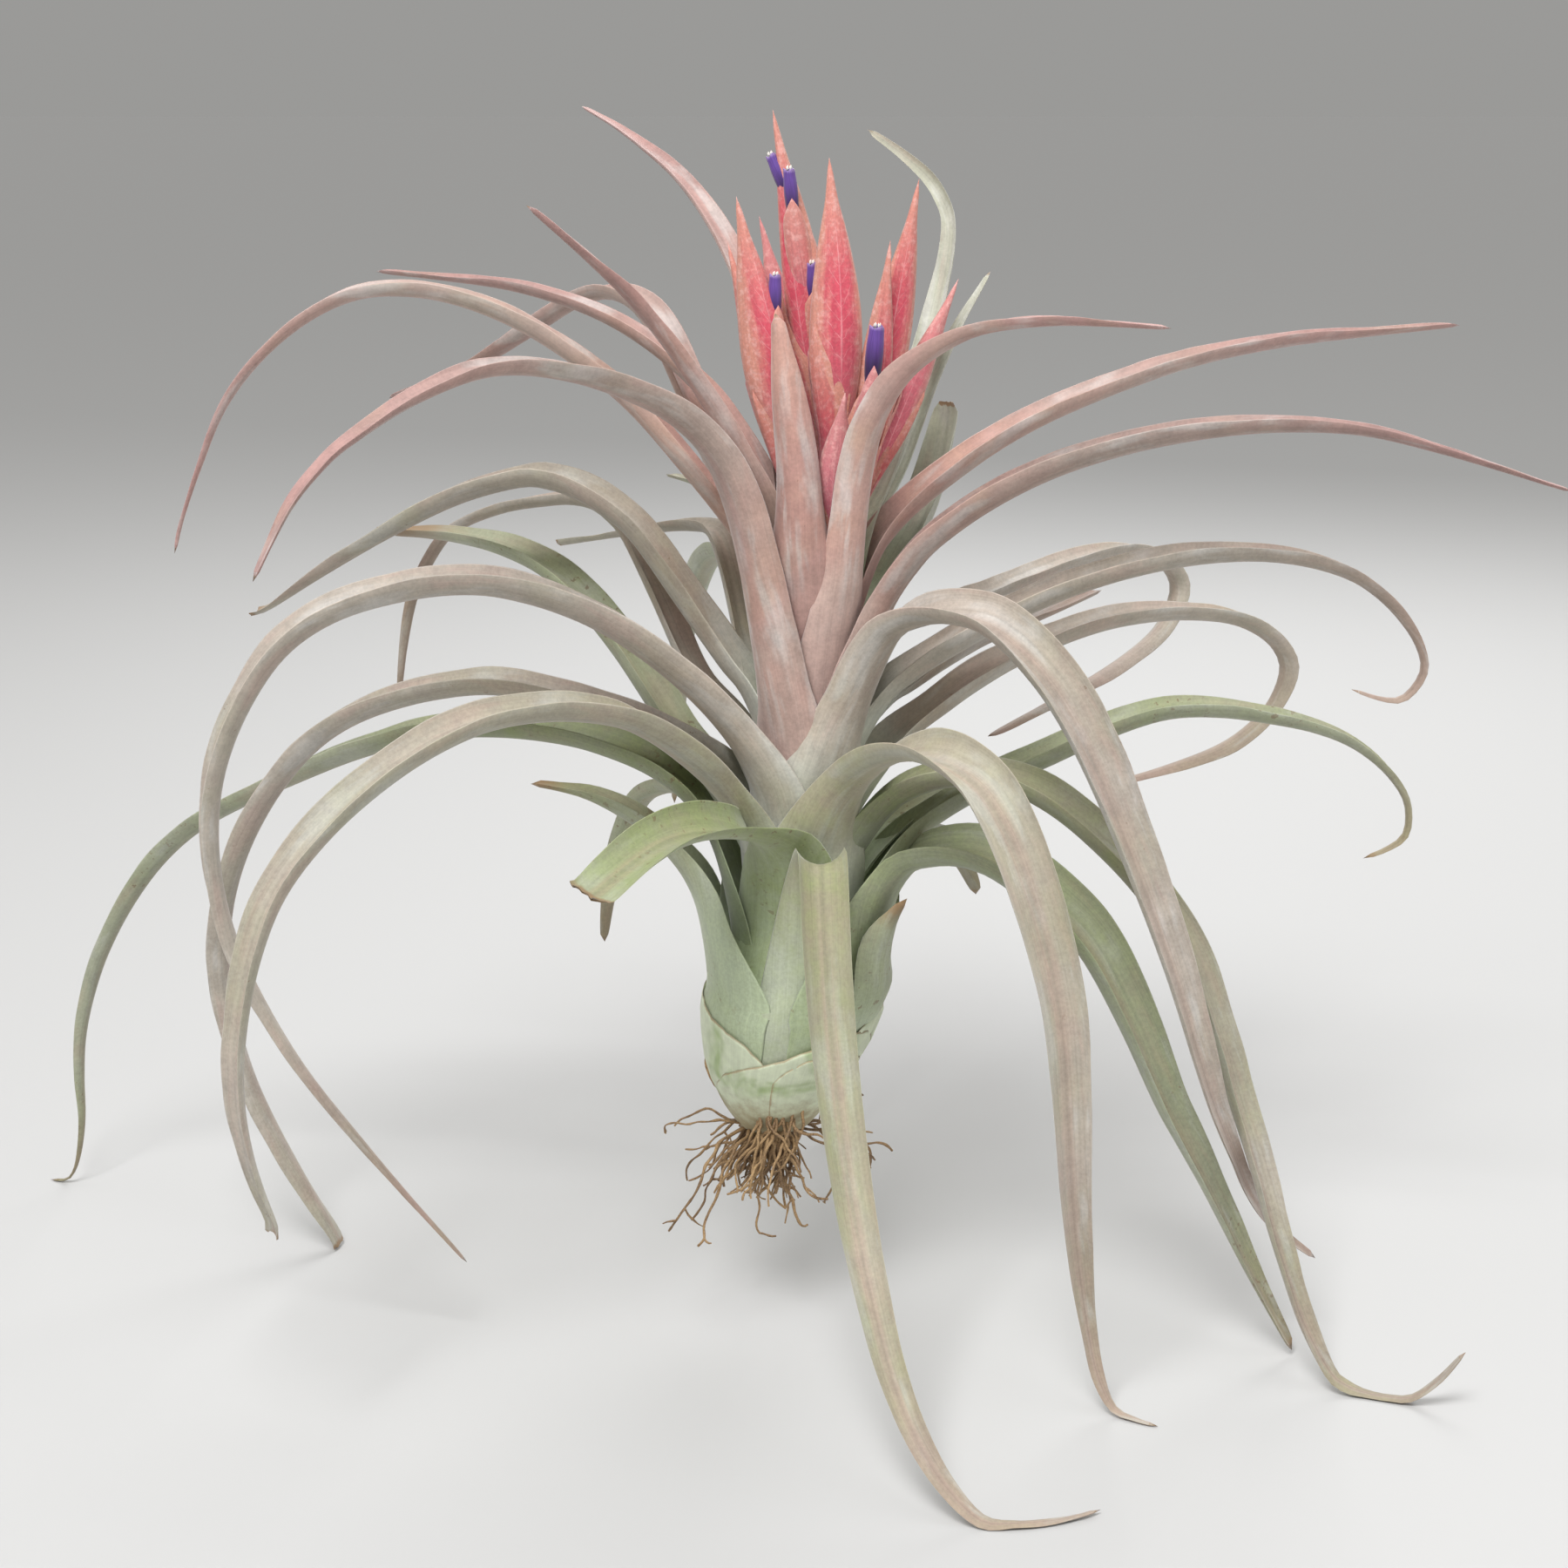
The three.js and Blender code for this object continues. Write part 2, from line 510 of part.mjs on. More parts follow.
// Roots. Wiry, kinked and thin, they spring from a crown under the bulb.
function rootsGeometry() {
  const draw = seeded(11);
  const [, , middle] = STEM_PROFILE[0];
  const level = STEM_FOOT - GAP - CROWN_RADIUS * CROWN_FLATNESS;
  const crown = new THREE.SphereGeometry(CROWN_RADIUS, 8, 5);
  crown.rotateX(Math.PI / 2).scale(1, 1, CROWN_FLATNESS).translate(middle, 0, level);
  const solids = [toSolid(crown)];
  for (let k = 0; k < ROOT_COUNT; k++) {
    const direction = radians(360 * k / ROOT_COUNT + 40 * draw());
    const long = k % LONG_ROOT_EVERY === 0;
    const spread = long ? 26 + 14 * draw() : 8 + 12 * draw();
    const drop = long ? 6 + 5 * draw() : 12 + 9 * draw();
    const rings = [];
    for (let i = 0; i <= ROOT_STOPS; i++) {
      const along = i / ROOT_STOPS;
      const kink = i > 0 ? ROOT_KINK : 0;
      const reach = 0.3 * CROWN_RADIUS + spread * along;
      const centre = new THREE.Vector3(
        middle + reach * Math.cos(direction) + kink * (draw() - 0.5),
        reach * Math.sin(direction) + kink * (draw() - 0.5),
        level - drop * Math.pow(along, 0.8) + kink * (draw() - 0.5),
      );
      const out = new THREE.Vector3(Math.cos(direction), Math.sin(direction), -drop / spread).normalize();
      const side = new THREE.Vector3(-Math.sin(direction), Math.cos(direction), 0);
      const lift = new THREE.Vector3().crossVectors(out, side);
      const radius = ROOT_RADIUS * mix(1.15, 0.75, along);
      rings.push([0, 1, 2].map((j) => {
        const [across, up] = [radius * Math.cos(radians(120 * j)), radius * Math.sin(radians(120 * j))];
        return centre.clone().addScaledVector(side, across).addScaledVector(lift, up);
      }));
    }
    solids.push(toSolid(skin(rings)));
  }
  return fromSolid(wasm.Manifold.union(solids));
}

const plant = new THREE.Group();

function add(name, geometry, colour, roughness = 0.8) {
  const material = new THREE.MeshStandardMaterial({ color: colour, roughness, metalness: 0 });
  const mesh = new THREE.Mesh(geometry, material);
  mesh.name = name;
  plant.add(mesh);
}

add('stem_with_bulb', stemGeometry(), COLOURS.stem);
add('roots', rootsGeometry(), COLOURS.roots, 0.9);
for (const [name, leaf] of Object.entries(LEAVES)) add(name, leafGeometry(leaf), COLOURS.leaf);
const seat = toSolid(stemGeometry(GAP));
for (const [name, spike] of Object.entries(SPIKES)) {
  let solid = spikeSolid(spike).subtract(seat);
  for (const flower of Object.values(FLOWERS)) {
    if (flower.spike === name) solid = solid.subtract(toSolid(flowerGeometry(flower, GAP)));
  }
  add(name, fromSolid(solid), COLOURS.spike, 0.6);
}
for (const [name, flower] of Object.entries(FLOWERS)) add(name, flowerGeometry(flower), COLOURS.flower, 0.4);

// The plant stands at the middle of the floor that it covers
const box = new THREE.Box3().setFromObject(plant);
const middle = box.getCenter(new THREE.Vector3());
plant.position.set(-middle.x, -middle.y, -box.min.z);

export default plant;
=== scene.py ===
import json
import math
import random

import bmesh
import bpy
from mathutils import Matrix, Vector


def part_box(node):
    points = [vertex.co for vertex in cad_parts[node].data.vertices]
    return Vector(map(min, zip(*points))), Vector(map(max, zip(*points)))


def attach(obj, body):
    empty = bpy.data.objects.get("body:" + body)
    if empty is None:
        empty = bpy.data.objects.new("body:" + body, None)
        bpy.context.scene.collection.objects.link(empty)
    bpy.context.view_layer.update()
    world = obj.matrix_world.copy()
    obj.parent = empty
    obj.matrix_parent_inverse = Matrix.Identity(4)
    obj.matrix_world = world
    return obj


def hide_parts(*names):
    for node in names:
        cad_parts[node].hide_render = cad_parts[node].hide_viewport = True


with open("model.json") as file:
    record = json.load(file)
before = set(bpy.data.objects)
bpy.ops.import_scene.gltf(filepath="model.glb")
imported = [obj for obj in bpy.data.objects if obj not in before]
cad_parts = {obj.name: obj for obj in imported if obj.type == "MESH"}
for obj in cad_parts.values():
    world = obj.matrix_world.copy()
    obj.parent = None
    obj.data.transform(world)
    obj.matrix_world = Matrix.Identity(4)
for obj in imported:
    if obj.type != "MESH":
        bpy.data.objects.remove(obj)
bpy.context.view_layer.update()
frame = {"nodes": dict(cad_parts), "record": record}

# Stem. A short woody core, swollen at the foot, which the sheaths of the leaves wrap round all the way up.
# Only its pale, scarred foot shows, where the lowest sheaths end above the roots.
MERGE = 2e-6                  # corners of a CAD mesh closer than this are one
CORE_INSET = 0.0016           # the core lies this far inside the solid, which counts the sheaths in
CORE_SIDES = 64
CORE_ROWS = 90
SCAR_DEPTH = 0.00035
SCAR_PITCH = 0.0021
SCARS_FADE = (0.06, 0.075)    # the heights between which the scars die out
RELIEF = 0.0002               # height of the finest relief on the plant's skin


def mix(first, second, share):
    return first + (second - first) * share


def smooth(low, high, value):
    share = min(1.0, max(0.0, (value - low) / (high - low)))
    return share * share * (3 - 2 * share)


def merged(node):
    """A copy of a CAD node's mesh with its loose triangles joined up"""
    solid = bmesh.new()
    solid.from_mesh(frame["nodes"][node].data)
    bmesh.ops.remove_doubles(solid, verts=solid.verts, dist=MERGE)
    return solid


def read_stem():
    """The stem's levels from the foot up, each as height, middle and radius"""
    levels = {}
    solid = merged("stem_with_bulb")
    for corner in solid.verts:
        levels.setdefault(round(corner.co.z, 4), []).append(corner.co.copy())
    solid.free()
    rows = []
    for height, corners in sorted(levels.items()):
        middle = sum(corners, Vector()) / len(corners)
        radius = sum((corner - middle).length for corner in corners) / len(corners)
        rows.append((height, middle, radius))
    return rows


STEM = read_stem()
STEM_FOOT = STEM[0][0]
STEM_TOP = STEM[-1][0]


def stem_at(height):
    """The stem's middle and the radius of its core at a height"""
    level = min(STEM_TOP - 1e-6, max(STEM_FOOT, height))
    row = next(i for i in range(1, len(STEM)) if STEM[i][0] > level)
    share = (level - STEM[row - 1][0]) / (STEM[row][0] - STEM[row - 1][0])
    middle = STEM[row - 1][1].lerp(STEM[row][1], share)
    return Vector((middle.x, middle.y, height)), mix(STEM[row - 1][2], STEM[row][2], share) - CORE_INSET


def paint(code):
    """A colour from its web code, in linear light"""
    values = [int(code[i:i + 2], 16) / 255 for i in (1, 3, 5)]
    return [v / 12.92 if v < 0.04045 else ((v + 0.055) / 1.055) ** 2.4 for v in values] + [1.0]


class Tree:
    """Builds a node tree: a call adds a node, wires it to what it is given, and returns it or its output"""

    def __init__(self, tree):
        self.nodes = tree.nodes
        self.links = tree.links

    def wire(self, socket, value):
        if isinstance(value, bpy.types.NodeSocket):
            self.links.new(value, socket)
        else:
            socket.default_value = value

    def add(self, kind, inputs=None, **settings):
        node = self.nodes.new(kind)
        for name, value in settings.items():
            setattr(node, name, value)
        for name, value in (inputs or {}).items():
            if isinstance(name, int):
                self.wire(node.inputs[name], value)
            else:
                self.wire(next(s for s in node.inputs if s.enabled and s.name == name), value)
        return node

    def step(self, kind, inputs=None, **settings):
        """Adds a node and returns the first of its outputs that is in use"""
        return next(s for s in self.add(kind, inputs, **settings).outputs if s.enabled)

    def math(self, operation, *values, clamp=False):
        return self.step("ShaderNodeMath", dict(enumerate(values)), operation=operation, use_clamp=clamp)

    def plus(self, first, second, clamp=False):
        return self.math("ADD", first, second, clamp=clamp)

    def minus(self, first, second):
        return self.math("SUBTRACT", first, second)

    def times(self, first, second, clamp=False):
        return self.math("MULTIPLY", first, second, clamp=clamp)

    def over(self, first, second, clamp=False):
        return self.math("DIVIDE", first, second, clamp=clamp)

    def times_plus(self, first, second, third):
        return self.math("MULTIPLY_ADD", first, second, third)

    def vector(self, operation, *values):
        return self.step("ShaderNodeVectorMath", dict(enumerate(values)), operation=operation)

    def scaled(self, vector, scale):
        return self.step("ShaderNodeVectorMath", {0: vector, "Scale": scale}, operation="SCALE")

    def joined(self, **ways):
        """A vector from its X, Y and Z, of which one that isn't given is 0"""
        return self.step("ShaderNodeCombineXYZ", ways)

    def ramp(self, value, low, high, first=0.0, last=1.0):
        """value from low to high becomes first to last, smoothly"""
        return self.step("ShaderNodeMapRange", {
            "Value": value, "From Min": low, "From Max": high, "To Min": first, "To Max": last,
        }, interpolation_type="SMOOTHSTEP")

    def blend(self, share, first, second, kind="MIX"):
        return self.step("ShaderNodeMix", {
            "Factor": share, "A": first, "B": second,
        }, data_type="RGBA", blend_type=kind, clamp_factor=True)

    def shaded(self, colour, shade):
        """The colour made darker or lighter by a factor"""
        grey = self.step("ShaderNodeCombineColor", {"Red": shade, "Green": shade, "Blue": shade})
        return self.blend(1.0, colour, grey, "MULTIPLY")

    def noise(self, place, scale, detail=2.0, rough=0.5, warp=0.0):
        return self.step("ShaderNodeTexNoise", {
            "Vector": place, "Scale": scale, "Detail": detail, "Roughness": rough, "Distortion": warp,
        })

    def attribute(self, name, out="Fac"):
        return self.add("ShaderNodeAttribute", attribute_name=name).outputs[out]


def group(name, kind, inputs, outputs):
    """An empty node group with its sockets, and a Tree to fill it"""
    tree = bpy.data.node_groups.new(name, kind)
    for label, socket, value in inputs:
        item = tree.interface.new_socket(label, in_out="INPUT", socket_type=socket)
        if value is not None:
            item.default_value = value
    for label, socket in outputs:
        tree.interface.new_socket(label, in_out="OUTPUT", socket_type=socket)
    build = Tree(tree)
    return tree, build, build.add("NodeGroupInput").outputs, build.add("NodeGroupOutput").inputs


SKIN_OUTPUTS = [
    ("Colour", "NodeSocketColor"), ("Height", "NodeSocketFloat"), ("Roughness", "NodeSocketFloat"),
]

# The silvery bloom: minute scales that lie thick in some places and are rubbed thin in others
SILVER_BLOOM, build, given, result = group("silver bloom", "ShaderNodeTree", [
    ("Tissue", "NodeSocketColor", (0.2, 0.25, 0.15, 1)), ("Bloom", "NodeSocketColor", (0.7, 0.7, 0.65, 1)),
    ("Amount", "NodeSocketFloat", 0.6), ("Patches", "NodeSocketFloat", 0.5),
], SKIN_OUTPUTS)
place = build.add("ShaderNodeTexCoord").outputs["Object"]
grain = build.noise(place, 2600, 2, 0.6)
rubbed = build.noise(place, 75, 3, 0.6, 0.4)
cover = build.plus(build.ramp(grain, 0.3, 0.7, -0.3, 0.3), given["Amount"])
patches = build.times(build.minus(rubbed, 0.5), given["Patches"])
cover = build.plus(cover, patches, clamp=True)
build.wire(result["Colour"], build.blend(cover, given["Tissue"], given["Bloom"]))
build.wire(result["Height"], grain)
build.wire(result["Roughness"], build.ramp(cover, 0.0, 1.0, 0.5, 0.8))


def finish(name, tree_group, inputs, bump=0.0, **sockets):
    """A material whose colour, roughness and relief come from one shader group"""
    material = bpy.data.materials.new(name)
    material.use_nodes = True
    shader = material.node_tree.nodes["Principled BSDF"]
    wires = Tree(material.node_tree)
    source = wires.add("ShaderNodeGroup", node_tree=tree_group)
    for label, value in inputs.items():
        source.inputs[label].default_value = value
    wires.wire(shader.inputs["Base Color"], source.outputs["Colour"])
    wires.wire(shader.inputs["Roughness"], source.outputs["Roughness"])
    if bump:
        relief = wires.add("ShaderNodeBump", {
            "Strength": bump, "Distance": RELIEF, "Height": source.outputs["Height"],
        })
        wires.wire(shader.inputs["Normal"], relief.outputs["Normal"])
    for label, value in sockets.items():
        shader.inputs[label.replace("_", " ")].default_value = value
    return material


def in_scene(name, data):
    """A new object in the scene"""
    thing = bpy.data.objects.new(name, data)
    bpy.context.scene.collection.objects.link(thing)
    return thing


def place_piece(name, mesh, material, slot_name, *nodes):
    """Puts a finished mesh in the scene as a piece of the plant that stands for the nodes"""
    mesh.name = name
    piece = in_scene(name, mesh)
    if not mesh.materials:
        mesh.materials.append(material)
    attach(piece, "root")
    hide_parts(*nodes)
    return piece


def mesh_of(name, parts):
    """A smooth mesh of what was gathered"""
    mesh = bpy.data.meshes.new(name)
    parts.to_mesh(mesh)
    parts.free()
    mesh.shade_smooth()
    return mesh


def stem_core():
    """A lathed skin just inside the sheaths, with shallow scars round its foot"""
    core = bmesh.new()
    rings = []
    for i in range(CORE_ROWS + 1):
        height = mix(STEM_FOOT, STEM_TOP, i / CORE_ROWS)
        middle, radius = stem_at(height)
        scar = SCAR_DEPTH * math.sin(height / SCAR_PITCH) * (1 - smooth(*SCARS_FADE, height))
        ring = []
        for j in range(CORE_SIDES):
            turn = 2 * math.pi * j / CORE_SIDES
            away = radius + scar * math.sin(3 * turn + height / 0.004)
            ring.append(core.verts.new(middle + away * Vector((math.cos(turn), math.sin(turn), 0))))
        rings.append(ring)
    for lower, upper in zip(rings, rings[1:]):
        for j in range(CORE_SIDES):
            k = (j + 1) % CORE_SIDES
            core.faces.new((lower[j], lower[k], upper[k], upper[j]))
    core.faces.new(list(reversed(rings[0])))
    core.faces.new(rings[-1])
    return mesh_of("stem_core", core)


CORE_FINISH = finish("pale stem", SILVER_BLOOM, {
    "Tissue": paint("#8d9a68"), "Bloom": paint("#c9cdb4"), "Amount": 0.5, "Patches": 1.2,
}, bump=0.4)
place_piece("stem_core", stem_core(), CORE_FINISH, "sheath", "stem_with_bulb")


# Leaves. Each is one blade, a long channel that tapers to a whip, and widens at its foot into a sheath that
# clasps the stem over the sheaths above it. It is grown along its keel, by the tree below, from the rings
# of six corners that the solid leaf has.
SHEATH_LENGTH = 0.044
SHEATH_FLOOR = 0.055          # no sheath reaches below this height
SHEATH_STOPS = 7
SHEATH_THICK = 0.0005
SHEATH_OFF = 0.0002           # how far a sheath's foot stands off the core
SHEATH_SWELL = 2.2            # how late up its length a sheath leaves the core, as a power
SHEATH_FOOT_WIDTH = 0.8       # width of a sheath's foot as a share of its full width
OPENING = 0.032               # a blade opens from its clasping sheath to its own channel over this length
CLASP = 1.2                   # half angle, in radians, that a sheath of a 14 mm blade clasps
FULL_WIDTH = 0.014
FLATTEST = 0.08               # least half angle of a blade's channel, in radians
ROW = 0.0024                  # spacing of a blade's rows
COLUMNS = 26
BLADE_THICK = 0.00095
RIM_THINNING = 0.55           # how much thinner the rims are than the middle
RIM_RIPPLE = 0.00035
POLE_MERGE = 0.00001          # points of a blade's end that come closer than this are one
TORN_WIDTH = 0.4              # a leaf whose last ring is wider than this share of its widest has a torn end
TORN_NOTCH = 0.0005
TEAR = 0.0045                 # how unevenly a torn end is torn
ROUNDED = "leaf_back_03"      # this one's end is worn round, and hardly torn
ROUNDED_WIDTH = 0.55
WORN = 0.0012
LOST = 0.15                   # length of what was torn off
TIP_WIDTHS = (1.15, 1.35, 1.6)  # how much wider than the solid's the last three rings of a whip are
BLUNT = 0.8                   # how far along its last stretch a whip is still more than half as wide
BLUNT_WIDTH = 0.6
HOOK = 3                      # the last rings of a leaf, whose bends are rounded

BLADE, build, given, result = group("channelled blade", "GeometryNodeTree", [
    ("Keel", "NodeSocketGeometry", None), ("Row spacing", "NodeSocketFloat", ROW),
    ("Columns", "NodeSocketInt", COLUMNS), ("Rim ripple", "NodeSocketFloat", RIM_RIPPLE),
    ("Ripple length", "NodeSocketFloat", 0.02), ("Seed", "NodeSocketFloat", 0.0),
    ("Finish", "NodeSocketMaterial", None),
], [("Leaf", "NodeSocketGeometry")])


# the five below add to the tree that build is filling when they are called
def stored(kind, name):
    """A named value that the geometry's points carry"""
    return build.step("GeometryNodeInputNamedAttribute", {"Name": name}, data_type=kind)


def store(geometry, kind, name, value, domain="POINT"):
    """Stores a named value on the geometry's points, or on what else the domain names"""
    return build.step("GeometryNodeStoreNamedAttribute", {
        "Geometry": geometry, "Name": name, "Value": value,
    }, data_type=kind, domain=domain)


def without(geometry, *names):
    """The geometry without the values that were only needed to shape it"""
    for name in names:
        geometry = build.step("GeometryNodeRemoveAttribute", {"Geometry": geometry, "Name": name})
    return geometry


def skinned(geometry):
    """The end of each tree: smooth shading, instances made real, and the finish"""
    geometry = build.step("GeometryNodeSetShadeSmooth", {"Geometry": geometry})
    geometry = build.step("GeometryNodeRealizeInstances", {"Geometry": geometry})
    return build.step("GeometryNodeSetMaterial", {"Geometry": geometry, "Material": given["Finish"]})


def smooth_line(mesh_line):
    """A line of edges as a rounded curve"""
    curve = build.step("GeometryNodeMeshToCurve", {"Mesh": mesh_line})
    return build.step("GeometryNodeCurveSplineType", {"Curve": curve}, spline_type="CATMULL_ROM")


keel = build.step("GeometryNodeResampleCurve", {
    "Curve": smooth_line(given["Keel"]), "Length": given["Row spacing"],
}, mode="LENGTH")
keel = store(keel, "FLOAT_VECTOR", "middle", build.step("GeometryNodeInputPosition"))
outline = build.step("GeometryNodeCurvePrimitiveCircle", {
    "Resolution": given["Columns"], "Radius": 1.0,
}, mode="RADIUS")
turn = build.over(build.step("GeometryNodeInputIndex"), given["Columns"])
outline = store(outline, "FLOAT", "turn", build.times(turn, 2 * math.pi))
skin = build.step("GeometryNodeCurveToMesh", {
    "Curve": keel, "Profile Curve": outline, "Fill Caps": True,
})
skin = store(skin, "FLOAT", "leaf_side", build.math("COSINE", stored("FLOAT", "turn")))
skin = store(skin, "FLOAT", "leaf_face", build.math("SINE", stored("FLOAT", "turn")))
side = stored("FLOAT", "leaf_side")
face = stored("FLOAT", "leaf_face")
half = stored("FLOAT", "half")
bend = stored("FLOAT", "bend")
across = build.vector("NORMALIZE", stored("FLOAT_VECTOR", "across"))
up = build.vector("NORMALIZE", stored("FLOAT_VECTOR", "up"))
middle = stored("FLOAT_VECTOR", "middle")
angle = build.times(side, bend)
radius = build.over(half, bend)
sideways = build.times(radius, build.math("SINE", angle))
lift = build.times(radius, build.minus(1.0, build.math("COSINE", angle)))
# the blade is thickest along its middle, and thins to its rims
thin = build.minus(1.0, build.times(RIM_THINNING, build.times(side, side)))
thick = build.times(build.times(stored("FLOAT", "thick"), 0.5), build.times(face, thin))
sideways = build.minus(sideways, build.times(thick, build.math("SINE", angle)))
lift = build.plus(lift, build.times(thick, build.math("COSINE", angle)))
# the rims waver a little, and a torn end is ragged
rim = build.joined(X=build.plus(given["Seed"], build.math("SIGN", side)))
wander = build.vector("ADD", build.vector("DIVIDE", middle, given["Ripple length"]), rim)
wander = build.noise(wander, 1.0, 1.0)
ripple = build.times(build.minus(wander, 0.5), build.math("POWER", build.math("ABSOLUTE", side), 2.0))
ripple = build.times(build.times(ripple, given["Rim ripple"]), 4.0)
ripple = build.times(ripple, build.ramp(half, 0.0, 0.004))
lift = build.plus(lift, ripple)
tear = build.noise(build.joined(X=build.times(side, 3.0), Y=given["Seed"]), 1.0, 2.0)
tear = build.times(build.minus(tear, 0.6), stored("FLOAT", "ragged"))
forward = build.vector("CROSS_PRODUCT", across, up)
spot = build.vector("ADD", middle, build.scaled(across, sideways))
spot = build.vector("ADD", spot, build.scaled(up, lift))
spot = build.vector("ADD", spot, build.scaled(forward, tear))
skin = build.step("GeometryNodeSetPosition", {"Geometry": skin, "Position": spot})
grain = build.joined(X=build.times(side, half), Y=stored("FLOAT", "from_foot"), Z=build.math("SIGN", face))
skin = store(skin, "FLOAT_VECTOR", "leaf_grain", grain)
skin = without(skin, "across", "up", "half", "bend", "thick", "ragged", "turn", "middle")
skin = build.step("GeometryNodeMergeByDistance", {"Geometry": skin, "Distance": POLE_MERGE})
build.wire(result["Leaf"], skinned(skin))


def line_mesh(name, places, edges=None, **layers):
    """Points joined by edges, in a row where none are given, with a named value or vector on each"""
    mesh = bpy.data.meshes.new(name)
    mesh.from_pydata(places, edges or [(i, i + 1) for i in range(len(places) - 1)], [])
    for label, values in layers.items():
        if isinstance(values[0], (int, float)):
            mesh.attributes.new(label, "FLOAT", "POINT").data.foreach_set("value", values)
        else:
            values = [value for vector in values for value in vector]
            mesh.attributes.new(label, "FLOAT_VECTOR", "POINT").data.foreach_set("vector", values)
    return mesh


def grown(name, mesh, tree, values):
    """Runs a Geometry Nodes tree on a mesh and returns what it makes as a plain mesh"""
    holder = in_scene(name, mesh)
    modifier = holder.modifiers.new("growth", "NODES")
    modifier.node_group = tree
    for item in tree.interface.items_tree:
        if item.in_out == "INPUT" and item.name in values:
            modifier[item.identifier] = values[item.name]
    depsgraph = bpy.context.evaluated_depsgraph_get()
    made = bpy.data.meshes.new_from_object(
        holder.evaluated_get(depsgraph), preserve_all_data_layers=True, depsgraph=depsgraph)
    holder.modifiers.remove(modifier)
    bpy.data.objects.remove(holder)
    bpy.data.meshes.remove(mesh)
    return made


def leaf_rings(node):
    """The solid's rings of six corners, from its foot to its tip, and the tip"""
    solid = merged(node)
    for start in solid.verts:
        layers = [{start}]
        seen = {start}
        while layers[-1]:
            layers.append({edge.other_vert(v) for v in layers[-1] for edge in v.link_edges} - seen)
            seen |= layers[-1]
        if all(len(layer) == 6 for layer in layers[1:-1]):
            rings = [sorted((v.co.copy() for v in layer), key=tuple) for layer in reversed(layers[1:-1])]
            return rings, start.co.copy()
    raise ValueError(node + " is not made of rings of six corners")


def chords(rings, tip):
    """For each ring: the keel's point, the ways across and up, half the width and the channel's depth"""
    middles = [sum(ring, Vector()) / 6 for ring in rings] + [tip]
    rows = []
    for i, ring in enumerate(rings):
        tangent = (middles[i + 1] - middles[max(0, i - 1)]).normalized()
        spread = max(((a - b) for a in ring for b in ring), key=lambda gap: gap.length)
        spread = (spread - spread.dot(tangent) * tangent).normalized()
        if rows:
            if abs(spread.dot(rows[-1]["across"])) < 0.8:
                spread = rows[-1]["across"] - rows[-1]["across"].dot(tangent) * tangent
                spread.normalize()
            elif spread.dot(rows[-1]["across"]) < 0:
                spread.negate()
        rows.append({"tangent": tangent, "across": spread, "ring": ring, "middle": middles[i]})
    for row in rows:
        ordered = sorted(row["ring"], key=lambda corner: (corner - row["middle"]).dot(row["across"]))
        left, row["keel"], right = [(ordered[j] + ordered[j + 1]) / 2 for j in (0, 2, 4)]
        row["across"] = (right - left) - (right - left).dot(row["tangent"]) * row["tangent"]
        row["half"] = row["across"].length / 2
        row["across"].normalize()
        row["up"] = row["tangent"].cross(row["across"])
        row["depth"] = ((left + right) / 2 - row["keel"]).dot(row["up"])
    if sum(row["depth"] for row in rows) < 0:
        for row in rows:
            row["across"].negate()
            row["up"].negate()
            row["depth"] *= -1
    return rows


